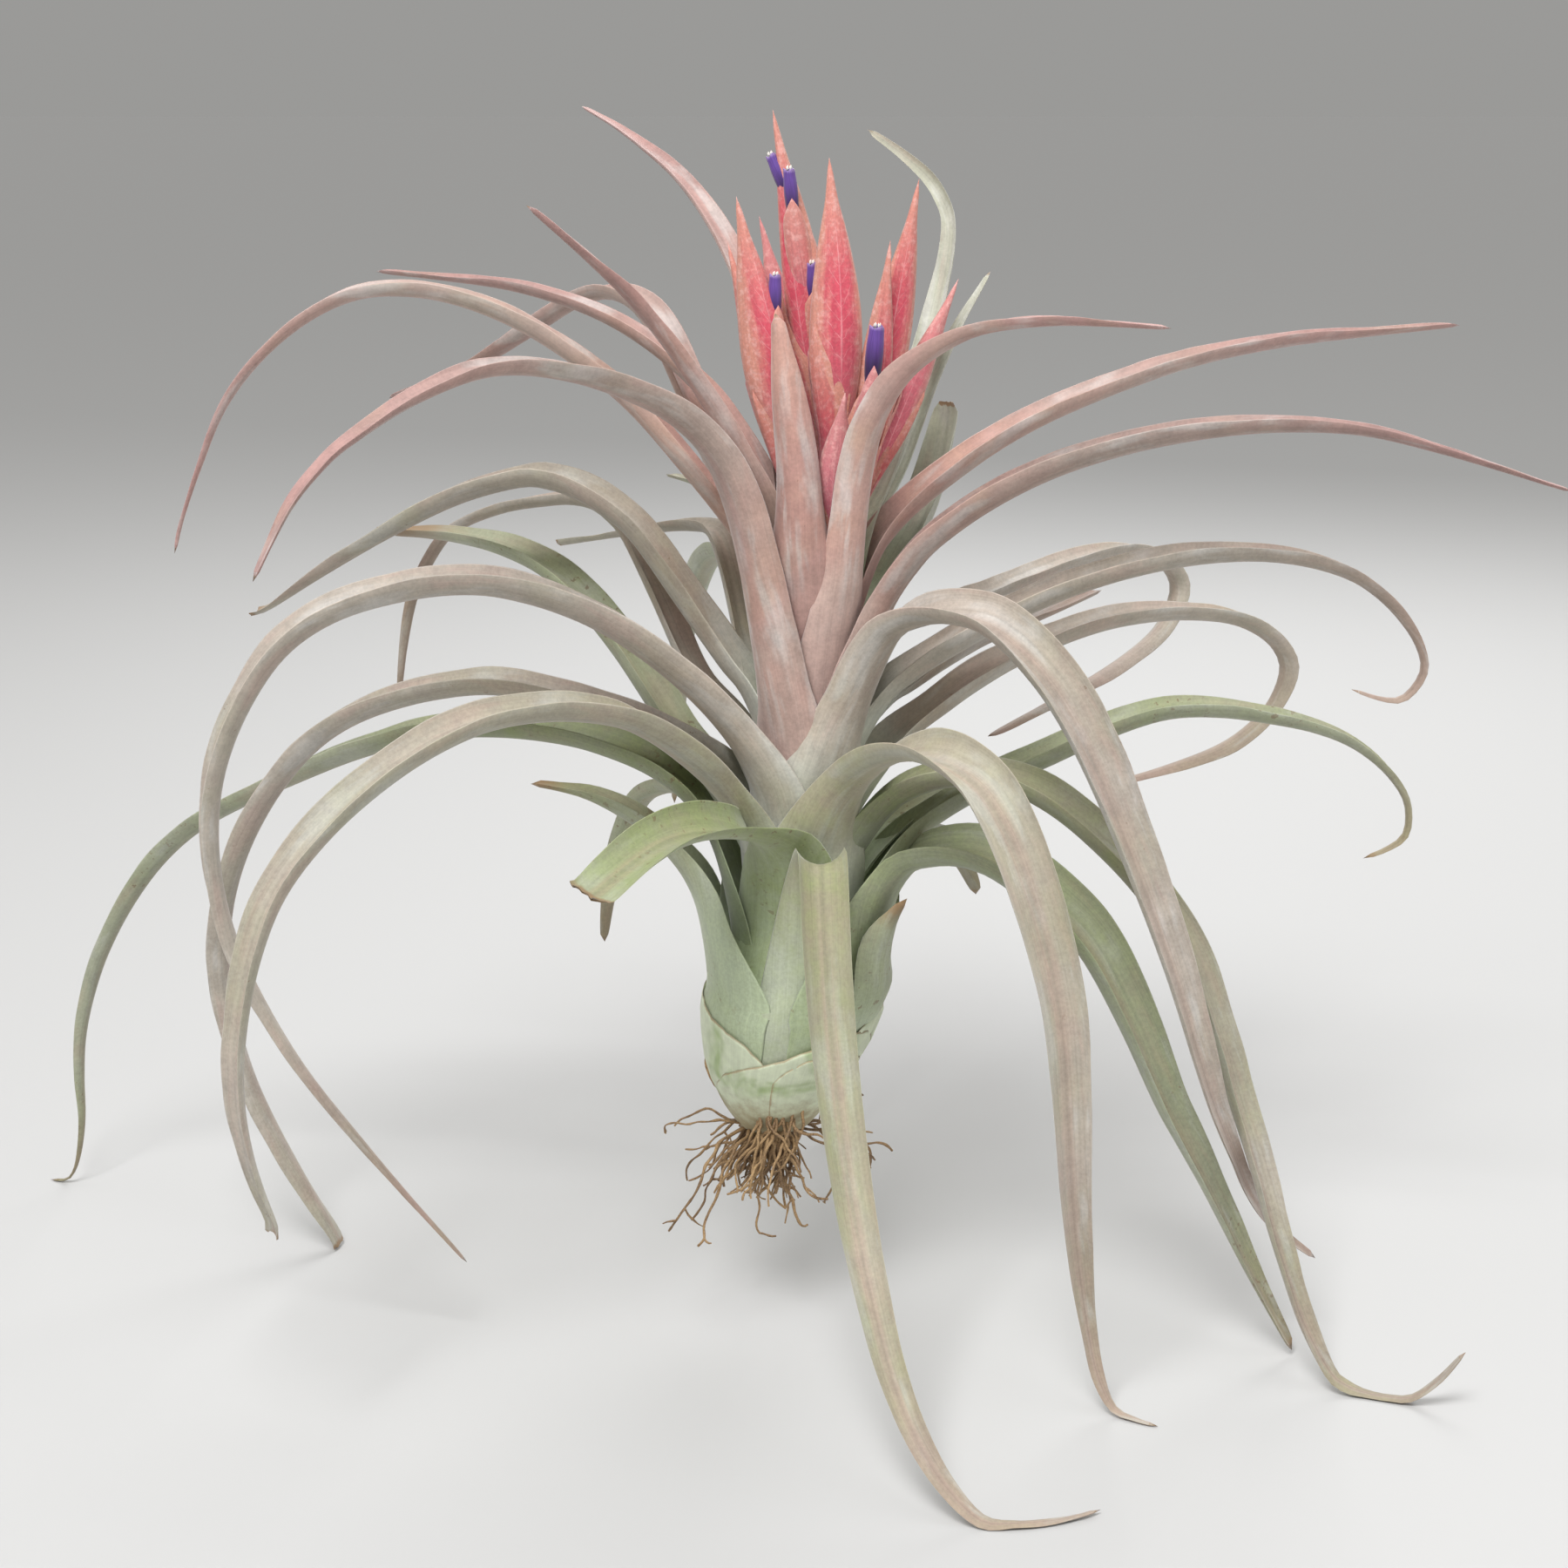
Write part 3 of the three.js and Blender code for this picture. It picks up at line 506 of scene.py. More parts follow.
def keel_of(node, sheath, clasp, fold, wider):
    """A blade's keel as a line of points, each with the section that the blade has there"""
    rings, tip = leaf_rings(node)
    rows = chords(rings, tip)
    keels = [row["keel"] for row in rows] + [tip]
    for i in range(len(rows) - HOOK, len(rows)):
        rows[i]["keel"] = (keels[i - 1] + 4 * keels[i] + keels[i + 1]) / 6
    widest = max(row["half"] for row in rows)
    folded = max(max(0.0, row["depth"]) / row["half"] for row in rows[:-1])
    foot = rows[0]["keel"]
    middle, radius = stem_at(foot.z)
    away = Vector((foot.x - middle.x, foot.y - middle.y, 0))
    standing = away.length - radius
    away.normalize()
    reach = min(sheath, foot.z - SHEATH_FLOOR)
    clasp *= math.sqrt(2 * widest / FULL_WIDTH)
    stops = []
    for i in range(SHEATH_STOPS):
        along = i / SHEATH_STOPS
        height = foot.z - reach * (1 - along)
        middle, radius = stem_at(height)
        curve = radius + mix(SHEATH_OFF, standing, along ** SHEATH_SWELL)
        width = mix(SHEATH_FOOT_WIDTH, 1.0, smooth(0, 0.35, along))
        stops.append({
            "place": middle + curve * away, "across": Vector((-away.y, away.x, 0)), "up": -away,
            "half": clasp * curve * width, "bend": clasp, "thick": SHEATH_THICK,
            "from_foot": -reach * (1 - along),
        })
    gone = 0.0
    sheath_half = stops[-1]["half"]
    for i, row in enumerate(rows[1:], 1):
        gone += (row["keel"] - rows[i - 1]["keel"]).length
        beyond = i > len(rows) / 2
        half = row["half"] if beyond else max(other["half"] for other in rows[i:])
        half *= mix(1.0, wider, smooth(0.01, 0.05, gone))
        deep = max(row["depth"], 0.0) / row["half"] if beyond or gone > 0.06 else folded
        bend = max(FLATTEST, 2 * math.atan(fold * deep))
        arc = half * bend / math.sin(bend)
        open_bend = clasp * mix(1.0, arc / sheath_half, 0.7)
        leaving = smooth(0, OPENING, gone)
        stops.append({
            "place": row["keel"], "across": row["across"], "up": row["up"],
            "half": mix(mix(sheath_half, arc, 0.35), arc, smooth(0, 0.03, gone)),
            "bend": mix(open_bend, bend, leaving),
            "thick": BLADE_THICK * mix(0.65, 1.0, leaving) * mix(1.0, 0.75, i / len(rows)),
            "from_foot": gone,
        })
    end = dict(stops[-1])
    end["place"] = tip
    end["from_foot"] = gone + (tip - rows[-1]["keel"]).length
    if rows[-1]["half"] > TORN_WIDTH * widest:
        stops[-1]["ragged"] = TORN_NOTCH
        if node == ROUNDED:
            end["half"] *= ROUNDED_WIDTH
        end["ragged"] = WORN if node == ROUNDED else min(TEAR, end["half"])
    else:
        for stop, width in zip(stops[-len(TIP_WIDTHS):], TIP_WIDTHS):
            stop["half"] *= width
        blunt = dict(stops[-1])
        blunt["place"] = blunt["place"].lerp(tip, BLUNT)
        blunt["from_foot"] = mix(blunt["from_foot"], end["from_foot"], BLUNT)
        blunt["half"] *= BLUNT_WIDTH
        stops.append(blunt)
        end["half"] = 0.0
        end["thick"] = 0.0
    stops.append(end)
    return stops


def keel_mesh(name, stops, tone, green=0.0, dry=0.003):
    """The keel's points as a mesh of edges that carry the blade's sections"""
    length = stops[-1]["from_foot"]
    labels = ("across", "up", "half", "bend", "thick", "ragged", "from_foot")
    columns = {label: [stop.get(label, 0.0) for stop in stops] for label in labels}
    columns["from_tip"] = [length - stop["from_foot"] for stop in stops]
    # a torn blade has lost its whip, and a short one has a short whip
    lost = LOST if stops[-1].get("ragged") else 0.0
    short = max(1.0, LOST / length)
    columns["from_whip"] = [value * short + lost for value in columns["from_tip"]]
    columns["leaf_tone"] = [tone] * len(stops)
    columns["leaf_green"] = [green] * len(stops)
    columns["leaf_dry"] = [dry] * len(stops)
    return line_mesh(name, [stop["place"] for stop in stops], **columns)


# Leaf tissue from foot to tip: green tissue under a silvery bloom, with fine lines lengthwise, a stripe
# along the middle, a pink flush above the sheath, a pale rim, specks on old leaves, and dry brown ends.
# Painted shade darkens the middle of the channel's upper face and two faint creases along the blade.
LEAF_SKIN, build, given, result = group("leaf skin", "ShaderNodeTree", [
    ("Sheath", "NodeSocketColor", paint("#cfd8bd")), ("Blade", "NodeSocketColor", paint("#a89c94")),
    ("Whip", "NodeSocketColor", paint("#a88f86")), ("Under", "NodeSocketColor", paint("#b5aaa2")),
    ("Green", "NodeSocketColor", paint("#828f5b")), ("Flush", "NodeSocketColor", paint("#c0958d")),
    ("Silver", "NodeSocketColor", paint("#ccccca")),
    ("Flush amount", "NodeSocketFloat", 0.4), ("Speck", "NodeSocketColor", paint("#6f5138")),
    ("Specks", "NodeSocketFloat", 0.2), ("Dry", "NodeSocketColor", paint("#8b6d4b")),
    ("Whip length", "NodeSocketFloat", 0.1), ("Sheath length", "NodeSocketFloat", 0.03),
], SKIN_OUTPUTS)
place = build.add("ShaderNodeTexCoord").outputs["Object"]
grain = build.attribute("leaf_grain", "Vector")
side = build.math("ABSOLUTE", build.attribute("leaf_side"))
foot = build.attribute("from_foot")
tip = build.attribute("from_tip")
cloud = build.noise(place, 24, 3, 0.55, 0.5)
mottle = build.noise(place, 170, 4, 0.62)
speckle = build.noise(place, 1100, 3, 0.65)
lines = build.noise(build.vector("MULTIPLY", grain, (2400, 16, 5)), 1.0, 3, 0.6)
lines_wide = build.noise(build.vector("MULTIPLY", grain, (620, 7, 5)), 1.0, 2, 0.5)
above = build.ramp(build.attribute("leaf_face"), -0.15, 0.15)
body = build.blend(above, given["Under"], given["Blade"])
whip = build.over(build.attribute("from_whip"), given["Whip length"])
body = build.blend(build.ramp(whip, 1.0, 0.15), body, given["Whip"])
flush = build.times(build.ramp(foot, -0.01, 0.03), build.ramp(foot, 0.11, 0.03))
flush = build.times(flush, build.ramp(cloud, 0.3, 0.65))
flush = build.times(flush, given["Flush amount"])
body = build.blend(flush, body, given["Flush"])
patches = build.noise(build.vector("MULTIPLY", grain, (160, 34, 5)), 1.0, 3, 0.6, 0.3)
body = build.blend(build.ramp(patches, 0.5, 0.68, 0.0, 0.22), body, given["Flush"])
body = build.blend(build.ramp(patches, 0.5, 0.34, 0.0, 0.45), body, given["Silver"])
near = build.plus(foot, build.times(build.minus(cloud, 0.5), 0.05))
body = build.blend(build.ramp(near, given["Sheath length"], -0.006), body, given["Sheath"])
green = build.times(build.attribute("leaf_green"), build.ramp(foot, 0.17, 0.06, 0.4, 1.0))
green = build.plus(green, build.ramp(cloud, 0.35, 0.7, -0.16, 0.16))
green = build.times(green, build.ramp(mottle, 0.3, 0.7, 0.75, 1.15), clamp=True)
body = build.blend(build.times(green, 0.85), body, given["Green"])
stripe = build.times(build.ramp(side, 0.42, 0.12), build.ramp(foot, 0.02, 0.07))
stripe = build.times(stripe, build.ramp(lines_wide, 0.3, 0.6, 0.2, 0.55))
body = build.blend(stripe, body, given["Whip"])
shade = build.ramp(lines, 0.25, 0.75, 0.93, 1.05)
shade = build.plus(shade, build.ramp(lines_wide, 0.25, 0.75, -0.05, 0.04))
shade = build.plus(shade, build.ramp(mottle, 0.3, 0.7, -0.08, 0.08))
shade = build.plus(shade, build.ramp(speckle, 0.3, 0.7, -0.09, 0.07))
tone = build.minus(build.attribute("leaf_tone"), 0.5)
shade = build.plus(shade, build.times(tone, 0.2))
# painted shade: the middle of the channel's upper face is darkened, as if shade fell into the channel
painted_channel_shade = build.times(build.ramp(side, 0.0, 0.14, 1.0, 0.0), above)
shade = build.minus(shade, build.times(painted_channel_shade, 0.13))
# painted shade: two faint darker lines either side of the middle, standing for shade in shallow creases
painted_crease_shade = build.ramp(build.math("ABSOLUTE", build.minus(side, 0.42)), 0.08, 0.0)
shade = build.minus(shade, build.times(painted_crease_shade, 0.06))
shade = build.plus(shade, build.ramp(side, 0.965, 0.995, 0.0, 0.16))
body = build.shaded(body, shade)
spots = build.plus(build.noise(place, 520, 2, 0.6), build.times(given["Specks"], 0.2))
spots = build.times(build.ramp(spots, 0.76, 0.82), build.ramp(cloud, 0.4, 0.6))
body = build.blend(build.times(spots, 0.6), body, given["Speck"])
end = build.minus(tip, build.times(build.minus(mottle, 0.5), 0.008))
dry = build.ramp(build.over(end, build.attribute("leaf_dry")), 1.0, 0.2)
body = build.blend(build.times(dry, 0.9), body, given["Dry"])
build.wire(result["Colour"], body)
relief = build.times_plus(lines, 0.35, build.times(speckle, 0.5))
build.wire(result["Height"], relief)
build.wire(result["Roughness"], build.ramp(speckle, 0.2, 0.8, 0.6, 0.8))


def leaf_finish_of(name, sheath, blade, whip, under, **amounts):
    """A leaf's finish from its four main colours and from what else is not the usual"""
    inputs = {"Sheath": paint(sheath), "Blade": paint(blade), "Whip": paint(whip), "Under": paint(under)}
    inputs.update({label.replace("_", " "): value for label, value in amounts.items()})
    return finish(name, LEAF_SKIN, inputs, bump=0.3, Sheen_Weight=0.3, Sheen_Roughness=0.45)


LEAF_FINISHES = {
    "leaf_upper": leaf_finish_of(
        "mauve leaf", "#bb9f96", "#ae9890", "#a98580", "#b09e94",
        Flush=paint("#b98a80"), Flush_amount=0.75, Specks=0.0, Whip_length=0.12),
    "leaf_middle": leaf_finish_of(
        "grey leaf", "#c6cac0", "#b1a79c", "#a38e82", "#b1a89c", Flush_amount=0.2, Specks=0.25),
    "leaf_lower": leaf_finish_of(
        "sage leaf", "#c8d5ba", "#a6a893", "#998b73", "#adaf9c",
        Flush_amount=0.1, Specks=0.65, Whip_length=0.05),
    "blushing leaf": leaf_finish_of(
        "blushing leaf", "#b38f87", "#b9958b", "#bf9587", "#b5948a",
        Flush=paint("#ae7f79"), Flush_amount=0.8, Specks=0.0),
    "pale leaf": leaf_finish_of(
        "pale leaf", "#c8d5ba", "#aeb2a3", "#aaa99a", "#b1b5a7", Flush_amount=0.0, Specks=0.1),
}
SLOT_OF = {part["node"]: part["material_slot"] for part in frame["record"]["subparts"]}
SLOT_GREEN = {"leaf_upper": 0.0, "leaf_middle": 0.12, "leaf_lower": 0.42}
SLOT_DRY = {"leaf_upper": 0.0012, "leaf_middle": 0.0018, "leaf_lower": 0.0035}
# the leaves that are greener or less green than the rest of their tier
OWN_GREEN = {
    "leaf_left_07": 0.2, "leaf_left_09": 0.5, "leaf_left_12": 0.4, "leaf_left_13": 0.85,
    "leaf_left_14": 0.6, "leaf_left_15": 0.9, "leaf_left_17": 0.25,
    "leaf_right_05": 0.8, "leaf_right_06": 0.75, "leaf_right_07": 0.6, "leaf_right_13": 0.5,
    "leaf_front_02": 0.45, "leaf_front_03": 0.72,
    "leaf_back_01": 0.0, "leaf_back_02": 0.1, "leaf_back_03": 0.15,
}
# the lengths of the dry ends that are longer or shorter than the rest of their tier's
OWN_DRY = {
    "leaf_left_07": 0.003, "leaf_left_09": 0.028, "leaf_left_14": 0.01, "leaf_left_15": 0.003,
    "leaf_right_13": 0.009, "leaf_back_01": 0.001, "leaf_back_02": 0.001, "leaf_back_03": 0.001,
}
# the leaves that aren't coloured as the rest of their tier
OWN_FINISH = {
    "leaf_front_01": "blushing leaf",
    "leaf_back_01": "pale leaf", "leaf_back_02": "pale leaf", "leaf_back_03": "pale leaf",
}
# a sheath's length and the half angle that it clasps, and a channel's depth and a blade's width as shares of
# the solid's, where they aren't the usual
OWN_FORM = {
    "leaf_right_05": (SHEATH_LENGTH, CLASP, 1.0, 1.35), "leaf_right_13": (0.008, 0.28, 1.2, 0.8),
    "leaf_front_03": (SHEATH_LENGTH, 0.7, 1.4, 1.0),
}

draw = random.Random(5)
for node in sorted(name for name in frame["nodes"] if name.startswith("leaf_")):
    slot_name = SLOT_OF[node]
    green = OWN_GREEN.get(node, SLOT_GREEN[slot_name])
    dry = OWN_DRY.get(node, SLOT_DRY[slot_name])
    form = OWN_FORM.get(node, (SHEATH_LENGTH, CLASP, 1.0, 1.0))
    line = keel_mesh(node, keel_of(node, *form), draw.random(), green, dry)
    leaf_finish = LEAF_FINISHES[OWN_FINISH.get(node, slot_name)]
    made = grown(node, line, BLADE, {"Seed": draw.uniform(0, 50), "Finish": leaf_finish})
    place_piece(node + "_blade", made, leaf_finish, slot_name, node)


# Old sheaths. The bulb is wrapped in what is left of the oldest leaves, thin pale husks that lie close on it
# and end in slanting, torn, brown-edged lines. Each is a sheet that the tree below bends round the stem.
HUSK_COLUMNS = 96
HUSK_ROWS = 24
HUSK_STOPS = 16               # points of the stem's line that carry its radius to the tree
HUSK_FOOT = 0.0528
HUSK_SPAN = 0.05              # a husk's line runs this far up the stem from its foot
HUSK_OFF = 0.0006             # how far a husk's middle stands off the core
HUSK_WRINKLE = 0.0009

HUSK, build, given, result = group("old sheath", "GeometryNodeTree", [
    ("Line", "NodeSocketGeometry", None), ("Turn", "NodeSocketFloat", 4.7),
    ("Half angle", "NodeSocketFloat", 1.2), ("Edge", "NodeSocketFloat", 0.5),
    ("Slant", "NodeSocketFloat", 0.2), ("Torn", "NodeSocketFloat", 0.1),
    ("Thickness", "NodeSocketFloat", 0.0004), ("Stand off", "NodeSocketFloat", 0.0005),
    ("Flare", "NodeSocketFloat", 0.0022), ("Seed", "NodeSocketFloat", 0.0),
    ("Finish", "NodeSocketMaterial", None),
], [("Husk", "NodeSocketGeometry")])
spine = build.step("GeometryNodeMeshToCurve", {"Mesh": given["Line"]})
sheet = build.step("GeometryNodeMeshGrid", {
    "Size X": 1.0, "Size Y": 1.0, "Vertices X": HUSK_COLUMNS + 1, "Vertices Y": HUSK_ROWS,
})
spot = build.add("ShaderNodeSeparateXYZ", {0: build.step("GeometryNodeInputPosition")}).outputs
turn = build.times(build.plus(spot["X"], 0.5), 2 * math.pi)
sheet = store(sheet, "FLOAT", "leaf_side", build.math("COSINE", turn))
sheet = store(sheet, "FLOAT", "leaf_face", build.math("SINE", turn))
sheet = store(sheet, "FLOAT", "along", build.plus(spot["Y"], 0.5))
side = stored("FLOAT", "leaf_side")
along = stored("FLOAT", "along")
# the edge slants across the sheet, wavers, and falls away to both of its sides
tear = build.noise(build.joined(X=build.times(side, 2.6), Y=given["Seed"]), 1.0, 4.0, 0.6)
edge = build.times_plus(given["Slant"], side, given["Edge"])
edge = build.times_plus(build.minus(tear, 0.5), given["Torn"], edge)
fall = build.math("POWER", build.math("ABSOLUTE", side), 4.0)
edge = build.times(edge, build.times_plus(fall, -0.35, 1.0))
level = build.times(edge, along)
cut = build.add("GeometryNodeSampleCurve", {
    "Curves": spine, "Value": stored("FLOAT", "girth"), "Factor": level,
}, mode="FACTOR", data_type="FLOAT")
pinch = build.times(build.ramp(along, 0.0, 0.05), build.ramp(along, 1.0, 0.95))
thin = build.times_plus(build.times(side, side), -0.7, 1.0)
out = build.times(build.times(given["Thickness"], 0.5), stored("FLOAT", "leaf_face"))
out = build.times_plus(out, build.times(pinch, thin), given["Stand off"])
out = build.times_plus(build.math("POWER", level, 1.5), given["Flare"], out)
wrinkle = build.joined(X=build.times(side, 9.0), Y=given["Seed"], Z=build.times(along, 1.6))
wrinkle = build.noise(wrinkle, 1.0, 1.0)
out = build.times_plus(build.minus(wrinkle, 0.5), build.times(along, HUSK_WRINKLE), out)
angle = build.times_plus(side, given["Half angle"], given["Turn"])
reach = build.plus(cut.outputs["Value"], out)
away = build.joined(X=build.math("COSINE", angle), Y=build.math("SINE", angle))
spot = build.vector("ADD", cut.outputs["Position"], build.scaled(away, reach))
sheet = build.step("GeometryNodeSetPosition", {"Geometry": sheet, "Position": spot})
high = build.times(level, HUSK_SPAN)
down = build.times(build.minus(edge, level), HUSK_SPAN)
sheet = store(sheet, "FLOAT", "from_foot", high)
sheet = store(sheet, "FLOAT", "from_tip", down)
grain = build.joined(X=build.times(side, 0.02), Y=high, Z=given["Seed"])
sheet = store(sheet, "FLOAT_VECTOR", "leaf_grain", grain)
sheet = without(sheet, "along")
sheet = build.step("GeometryNodeMergeByDistance", {"Geometry": sheet, "Distance": POLE_MERGE})
build.wire(result["Husk"], skinned(sheet))

# Husk tissue: pale mint with green patches and fine lines, tan towards the foot, with a thin brown line
# along the edge
HUSK_SKIN, build, given, result = group("husk skin", "ShaderNodeTree", [
    ("Pale", "NodeSocketColor", paint("#cbd3b8")), ("Green", "NodeSocketColor", paint("#8ba262")),
    ("Foot", "NodeSocketColor", paint("#a08c62")), ("Edge", "NodeSocketColor", paint("#9c8260")),
], SKIN_OUTPUTS)
place = build.add("ShaderNodeTexCoord").outputs["Object"]
height = build.add("ShaderNodeSeparateXYZ", {0: place}).outputs["Z"]
cloud = build.noise(place, 60, 3, 0.55, 0.6)
mottle = build.noise(place, 260, 4, 0.62)
grain = build.attribute("leaf_grain", "Vector")
lines = build.noise(build.vector("MULTIPLY", grain, (2400, 20, 5)), 1.0, 3, 0.6)
body = build.blend(build.ramp(cloud, 0.48, 0.68, 0.0, 0.8), given["Pale"], given["Green"])
stain = build.times_plus(build.minus(mottle, 0.5), 0.02, height)
body = build.blend(build.ramp(stain, 0.067, 0.053, 0.0, 0.8), body, given["Foot"])
shade = build.plus(build.ramp(lines, 0.25, 0.75, 0.96, 1.04), build.ramp(mottle, 0.3, 0.7, -0.08, 0.08))
body = build.shaded(body, shade)
from_side = build.times(build.minus(1.0, build.math("ABSOLUTE", build.attribute("leaf_side"))), 0.02)
brink = build.math("MINIMUM", build.attribute("from_tip"), from_side)
brink = build.times_plus(build.minus(mottle, 0.5), 0.0016, brink)
body = build.blend(build.ramp(brink, 0.0008, 0.0002, 0.0, 0.7), body, given["Edge"])
build.wire(result["Colour"], body)
build.wire(result["Height"], build.times_plus(lines, 0.4, build.times(mottle, 0.6)))
build.wire(result["Roughness"], build.ramp(mottle, 0.2, 0.8, 0.6, 0.8))
HUSK_FINISH = finish("old sheath", HUSK_SKIN, {}, bump=0.5, Sheen_Weight=0.1)


def husk_line():
    """The stem's middle from the foot of the bulb up, as a mesh of edges that carries its radius"""
    spots = [stem_at(HUSK_FOOT + HUSK_SPAN * i / HUSK_STOPS) for i in range(HUSK_STOPS + 1)]
    return line_mesh("husk", [middle for middle, _ in spots], girth=[radius for _, radius in spots])


# each husk's turn round the stem and half its angle, the middle height and the slant of its edge as shares
# of the line, and how much further than the rest it stands off
husks = bmesh.new()
for turn, half, edge, slant, lift in (
    (3.5, 1.15, 0.68, -0.16, 0.0), (4.75, 1.25, 0.52, 0.2, 0.0003), (0.3, 1.2, 0.62, -0.16, 0.0001),
    (1.6, 1.2, 0.56, 0.16, 0.0), (2.4, 1.0, 0.7, -0.1, -0.0001), (5.6, 1.0, 0.44, -0.12, 0.0005),
):
    husk = grown("husk", husk_line(), HUSK, {
        "Turn": turn, "Half angle": half, "Edge": edge, "Slant": slant, "Stand off": HUSK_OFF + lift,
        "Seed": draw.uniform(0, 50), "Finish": HUSK_FINISH,
    })
    husks.from_mesh(husk)
place_piece("old_sheaths", mesh_of("old_sheaths", husks), HUSK_FINISH, "sheath", "stem_with_bulb")


# Bract spikes. Each is a slightly flattened bud of a few long folded bracts, each wrapped over the foot of
# the next, with the last one drawn out to the spike's point. They are grown round the spike's spine, which
# is read from the solid in level cuts.
SPIKE_CUTS = 12
SPIKE_SEAT = 0.006            # how far a spine runs on down into the stem
SPIKE_POINT = 0.0016          # how far the last bract's point stands out past the solid
PLUMP = 1.1                   # how much fuller a spike is than its solid's folded bracts
BRACT_COLUMNS = 34
BRACT_ROWS = 34
BRACT_THICK = 0.00045
BRACT_MERGE = 0.00002
TALL_SPIKE = 0.062            # a spike taller than this has four bracts, and others three

SPIKE, build, given, result = group("bract spike", "GeometryNodeTree", [
    ("Spine", "NodeSocketGeometry", None), ("Bracts", "NodeSocketInt", 4),
    ("Top turn", "NodeSocketFloat", 1.57), ("Divergence", "NodeSocketFloat", 2.55),
    ("Lowest tip", "NodeSocketFloat", 0.42), ("Next tip", "NodeSocketFloat", 0.64),
    ("Point length", "NodeSocketFloat", 0.2), ("Wide way", "NodeSocketVector", None),
    ("Front way", "NodeSocketVector", None), ("Wrap", "NodeSocketFloat", 1.95),
    ("Thickness", "NodeSocketFloat", BRACT_THICK), ("Keel height", "NodeSocketFloat", 0.00055),
    ("Flare", "NodeSocketFloat", 0.0004), ("Layer gap", "NodeSocketFloat", 0.00025),
    ("Seed", "NodeSocketInt", 0), ("Finish", "NodeSocketMaterial", None),
], [("Spike", "NodeSocketGeometry")])
spine = smooth_line(given["Spine"])
sheet = build.step("GeometryNodeMeshGrid", {
    "Size X": 1.0, "Size Y": 1.0, "Vertices X": BRACT_COLUMNS + 1, "Vertices Y": BRACT_ROWS,
})
spot = build.add("ShaderNodeSeparateXYZ", {0: build.step("GeometryNodeInputPosition")}).outputs
turn = build.times(build.plus(spot["X"], 0.5), 2 * math.pi)
sheet = store(sheet, "FLOAT", "around", build.math("COSINE", turn))
sheet = store(sheet, "FLOAT", "leaf_face", build.math("SINE", turn))
# rows lie closer together towards a bract's tip
along = build.minus(1.0, build.math("POWER", build.minus(0.5, spot["Y"]), 1.3))
sheet = store(sheet, "FLOAT", "along", along)
ranks = build.step("GeometryNodeMeshLine", {"Count": given["Bracts"]})
bracts = build.step("GeometryNodeInstanceOnPoints", {"Points": ranks, "Instance": sheet})
index = build.step("GeometryNodeInputIndex")
bracts = store(bracts, "FLOAT", "rank", index, "INSTANCE")
chance = build.step("FunctionNodeRandomValue", {"ID": index, "Seed": given["Seed"]}, data_type="FLOAT")
bracts = store(bracts, "FLOAT", "leaf_tone", chance, "INSTANCE")
bracts = build.step("GeometryNodeRealizeInstances", {"Geometry": bracts})
side = stored("FLOAT", "around")
bare = build.math("ABSOLUTE", side)
along = stored("FLOAT", "along")
rank = stored("FLOAT", "rank")
wobble = build.minus(stored("FLOAT", "leaf_tone"), 0.5)
# the last bract runs to the spike's point, and the tips of the others climb evenly below it
topmost = build.math("GREATER_THAN", rank, build.minus(given["Bracts"], 1.5))
climb = build.over(rank, build.minus(given["Bracts"], 2.0), clamp=True)
tips = build.minus(given["Next tip"], given["Lowest tip"])
climb = build.times_plus(tips, climb, given["Lowest tip"])
climb = build.times_plus(wobble, 0.06, climb)
last = build.math("MAXIMUM", topmost, climb)
level = build.times(last, along)
cut = build.add("GeometryNodeSampleCurve", {
    "Curves": spine, "Value": stored("FLOAT_VECTOR", "section"), "Factor": level,
}, mode="FACTOR", data_type="FLOAT_VECTOR")
section = build.add("ShaderNodeSeparateXYZ", {0: cut.outputs["Value"]}).outputs
# a bract's half angle round the spine is full up to its point, and then falls so that the margins run
# straight; the last bract closes all round
point = build.times(given["Point length"], build.times_plus(topmost, -0.95, 1.0))
short = build.over(build.minus(last, level), point)
wrap = build.math("ARCSINE", build.math("MINIMUM", short, 1.0))
rest = build.times_plus(topmost, 1.25, build.minus(given["Wrap"], math.pi / 2))
wrap = build.times_plus(build.ramp(short, 1.0, 2.0), rest, wrap)
below = build.minus(build.minus(rank, given["Bracts"]), -1.0)
angle = build.times_plus(below, given["Divergence"], given["Top turn"])
angle = build.times_plus(wobble, 0.5, angle)
angle = build.times_plus(side, wrap, angle)
pinch = build.times(build.ramp(along, 0.0, 0.06), build.ramp(along, 1.0, 0.95))
thin = build.times_plus(build.math("POWER", bare, 2.0), -0.7, 1.0)
out = build.times(build.times(given["Thickness"], 0.5), stored("FLOAT", "leaf_face"))
out = build.times(out, build.times(pinch, thin))
layer = build.minus(build.times(given["Bracts"], 0.5), rank)
out = build.times_plus(given["Layer gap"], layer, out)
keel = build.math("EXPONENT", build.times(bare, -6.0))
keel = build.times(keel, build.ramp(along, 0.1, 0.5))
out = build.times_plus(keel, build.times(given["Keel height"], pinch), out)
flare = build.times(given["Flare"], build.minus(1.0, topmost))
out = build.times_plus(build.math("POWER", along, 5.0), flare, out)
wide = build.times(build.plus(section["X"], out), build.math("COSINE", angle))
deep = build.times(build.plus(section["Y"], out), build.math("SINE", angle))
spot = build.vector("ADD", cut.outputs["Position"], build.scaled(given["Wide way"], wide))
spot = build.vector("ADD", spot, build.scaled(given["Front way"], deep))
bracts = build.step("GeometryNodeSetPosition", {"Geometry": bracts, "Position": spot})
